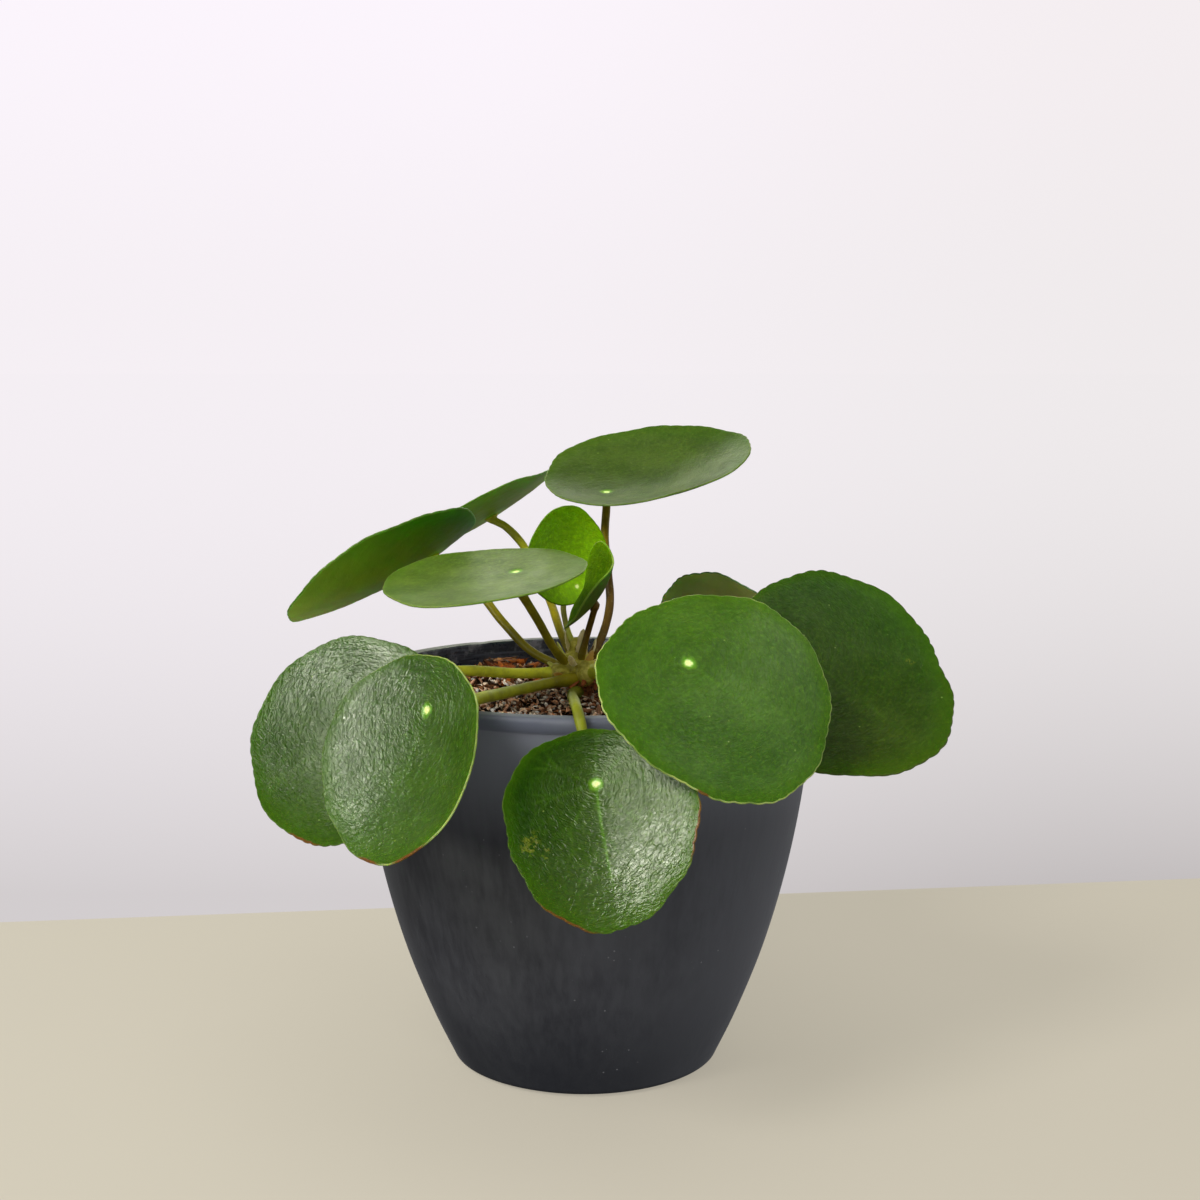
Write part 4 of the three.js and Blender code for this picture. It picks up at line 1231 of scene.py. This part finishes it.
def floor_material():
    """Beige paint in front of a line close behind the pot, and a pale backdrop beyond it. Both glow with
    painted light: the floor partly, paler on the left, and the backdrop wholly, which pales with distance as
    a lit wall would with height and greys to the right.
    """
    g = new_material("stage_paint")
    parts = g.node("SeparateXYZ", {"Vector": g.place})
    x, y = parts.outputs["X"], parts.outputs["Y"]
    beyond = g.math("SUBTRACT", y, g.plus(g.times(x, FLOOR_EDGE_SLOPE), FLOOR_EDGE * MM))
    back = g.span(beyond, -0.0006, 0.0006)
    paint = g.noise(6, detail=3)
    beige = g.mix(g.span(paint, 0.3, 0.7), (0.56, 0.515, 0.42), (0.55, 0.505, 0.41))
    # Painted light on the floor: paler on the left
    lit = g.mix(g.span(x, -0.25, 0.35), (0.67, 0.62, 0.507), (0.61, 0.56, 0.46))
    away = g.plus(y, -CAMERA_PLACE[1] * MM)
    # Painted light on the backdrop: darker near the line and paler far off, as a lit wall is higher up, and
    # greyer to the right
    near_share = g.math("POWER", g.math("DIVIDE", 0.68, away), 1.9)
    pale = g.mix(near_share, (0.908, 0.862, 0.900), (0.645, 0.612, 0.622))
    grey = g.mix(near_share, (0.860, 0.825, 0.835), (0.530, 0.500, 0.500))
    pale = g.mix(g.span(g.math("DIVIDE", x, away), -0.1, 0.32), pale, grey)
    shader = g.node("BsdfPrincipled", {"Base Color": beige, "Roughness": 0.8, "Specular IOR Level": 0.2})
    glow = g.node("Emission", {"Color": g.mix(back, lit, pale), "Strength": 1.0})
    # More than half of the floor in front is glow, painted light that thins its shadows; beyond the line it
    # is all glow
    flat = g.plus(g.times(back, 0.42), 0.58)
    both = g.node("MixShader", {0: flat, 1: shader.outputs[0], 2: glow.outputs[0]})
    g.node("OutputMaterial", {"Surface": both.outputs[0]})
    return g.owner


def add_floor():
    far, low = FLOOR_REACH * MM, -FLOOR_DEPTH * MM
    corners = [(-far, -far, low), (far, -far, low), (far, far, low), (-far, far, low)]
    mesh = bpy.data.meshes.new("floor")
    mesh.from_pydata(corners, [], [(0, 1, 2, 3)])
    mesh.materials.append(floor_material())
    floor = add_object("floor", mesh)
    floor.visible_diffuse = False
    floor.visible_glossy = False


def add_world():
    """A pale backdrop for the camera, with painted light that makes it paler upward and to the left, soft
    windows and a bright ceiling for sheen, and an even fill light.
    """
    world = bpy.data.worlds.new("studio")
    bpy.context.scene.world = world
    g = Graph(world)
    way = g.node("SeparateXYZ", {"Vector": g.coordinates["Generated"]}).outputs
    # Painted light on the backdrop the camera sees: paler upward and to the left
    left = g.mix(g.span(way["Z"], 0.0, 0.2), (0.915, 0.867, 0.905), (0.972, 0.914, 0.978))
    right = g.mix(g.span(way["Z"], 0.0, 0.2), (0.865, 0.828, 0.838), (0.905, 0.853, 0.872))
    seen = g.mix(g.span(way["X"], -0.1, 0.32), left, right)
    ahead = g.mix(g.span(way["X"], 0.3, 0.75), (0.06, 0.06, 0.062), (0.45, 0.46, 0.48))
    high = g.mix(g.span(way["Z"], 0.46, 0.68), (1.9, 1.95, 1.55), (0.3, 0.3, 0.28))
    back = g.mix(g.span(way["Z"], 0.0, 0.12), (0.4, 0.4, 0.42), high)
    lit = g.mix(g.span(way["Y"], 0.6, 0.85), ahead, back)
    ray = g.node("LightPath").outputs
    lit = g.mix(ray["Is Diffuse Ray"], lit, (0.45, 0.45, 0.45))
    shown = g.mix(ray["Is Camera Ray"], lit, seen)
    background = g.node("Background", {"Color": shown})
    g.node("OutputWorld", {"Surface": background.outputs[0]})


# Lights: name, place in metres, width, watts. The first are seen only in the sheen of waxy leaves,
# the others light everything softly.
SHEEN_LIGHTS = [
    ("window", (-0.935, -0.34, 0.94), 0.5, 10.5),
    ("window_low", (-0.82, -0.98, 0.36), 0.34, 17),
    ("window_right", (0.70, -0.30, 1.17), 0.35, 0.9),
]
SOFT_LIGHTS = [
    ("key", (-0.72, -1.0, 1.15), 0.5, 18),
    ("top", (0.1, -0.3, 1.5), 1.0, 4),
    ("front", (0.1, -1.6, 0.7), 1.2, 2.5),
]


def add_studio():
    add_world()
    add_floor()
    for name, place, size, power in SHEEN_LIGHTS:
        light = add_light(name, place, (-0.02, -0.05, 0.12), size, power, (1, 1, 0.86))
        light.visible_diffuse = False
    for name, place, size, power in SOFT_LIGHTS:
        light = add_light(name, place, (0, 0, 0.11), size, power, (1, 0.99, 0.97))
        light.visible_glossy = False
    bpy.context.scene.view_settings.view_transform = "Standard"
    bpy.context.scene.view_settings.look = "None"


# The plant: skins, then all pieces. A leaf's skins have a dark and a light green, and the tint of its veins

CHIP_SKIN = chip_material()
STALK_SKIN = stalk_material()
LEAF_SKINS = [
    leaf_top_material("leaf_top", (0.027, 0.070, 0.002), (0.046, 0.106, 0.003), (0.16, 0.42, 0.01),
                      rough=0.32, shine=0.5),
    leaf_under_material("leaf_under", (0.075, 0.086, 0.002), (0.095, 0.108, 0.003), (0.30, 0.36, 0.04)),
]
YOUNG_SKINS = [
    leaf_top_material("young_leaf_top", (0.10, 0.22, 0.001), (0.145, 0.30, 0.001), (0.3, 0.55, 0.02),
                      rough=0.42, shine=0.12),
    leaf_under_material("young_leaf_under", (0.09, 0.15, 0.004), (0.12, 0.19, 0.006), (0.3, 0.4, 0.05)),
]

add_camera()
add_studio()
make_pot()
make_soil()
for name, bits in BITS.items():
    make_bits(name, **bits)
make_crown()
make_scales()
for key, own in LEAVES.items():
    leaf = {**PLAIN_LEAF, **own}
    make_leaf(key, leaf)
    make_stalk(key, leaf)
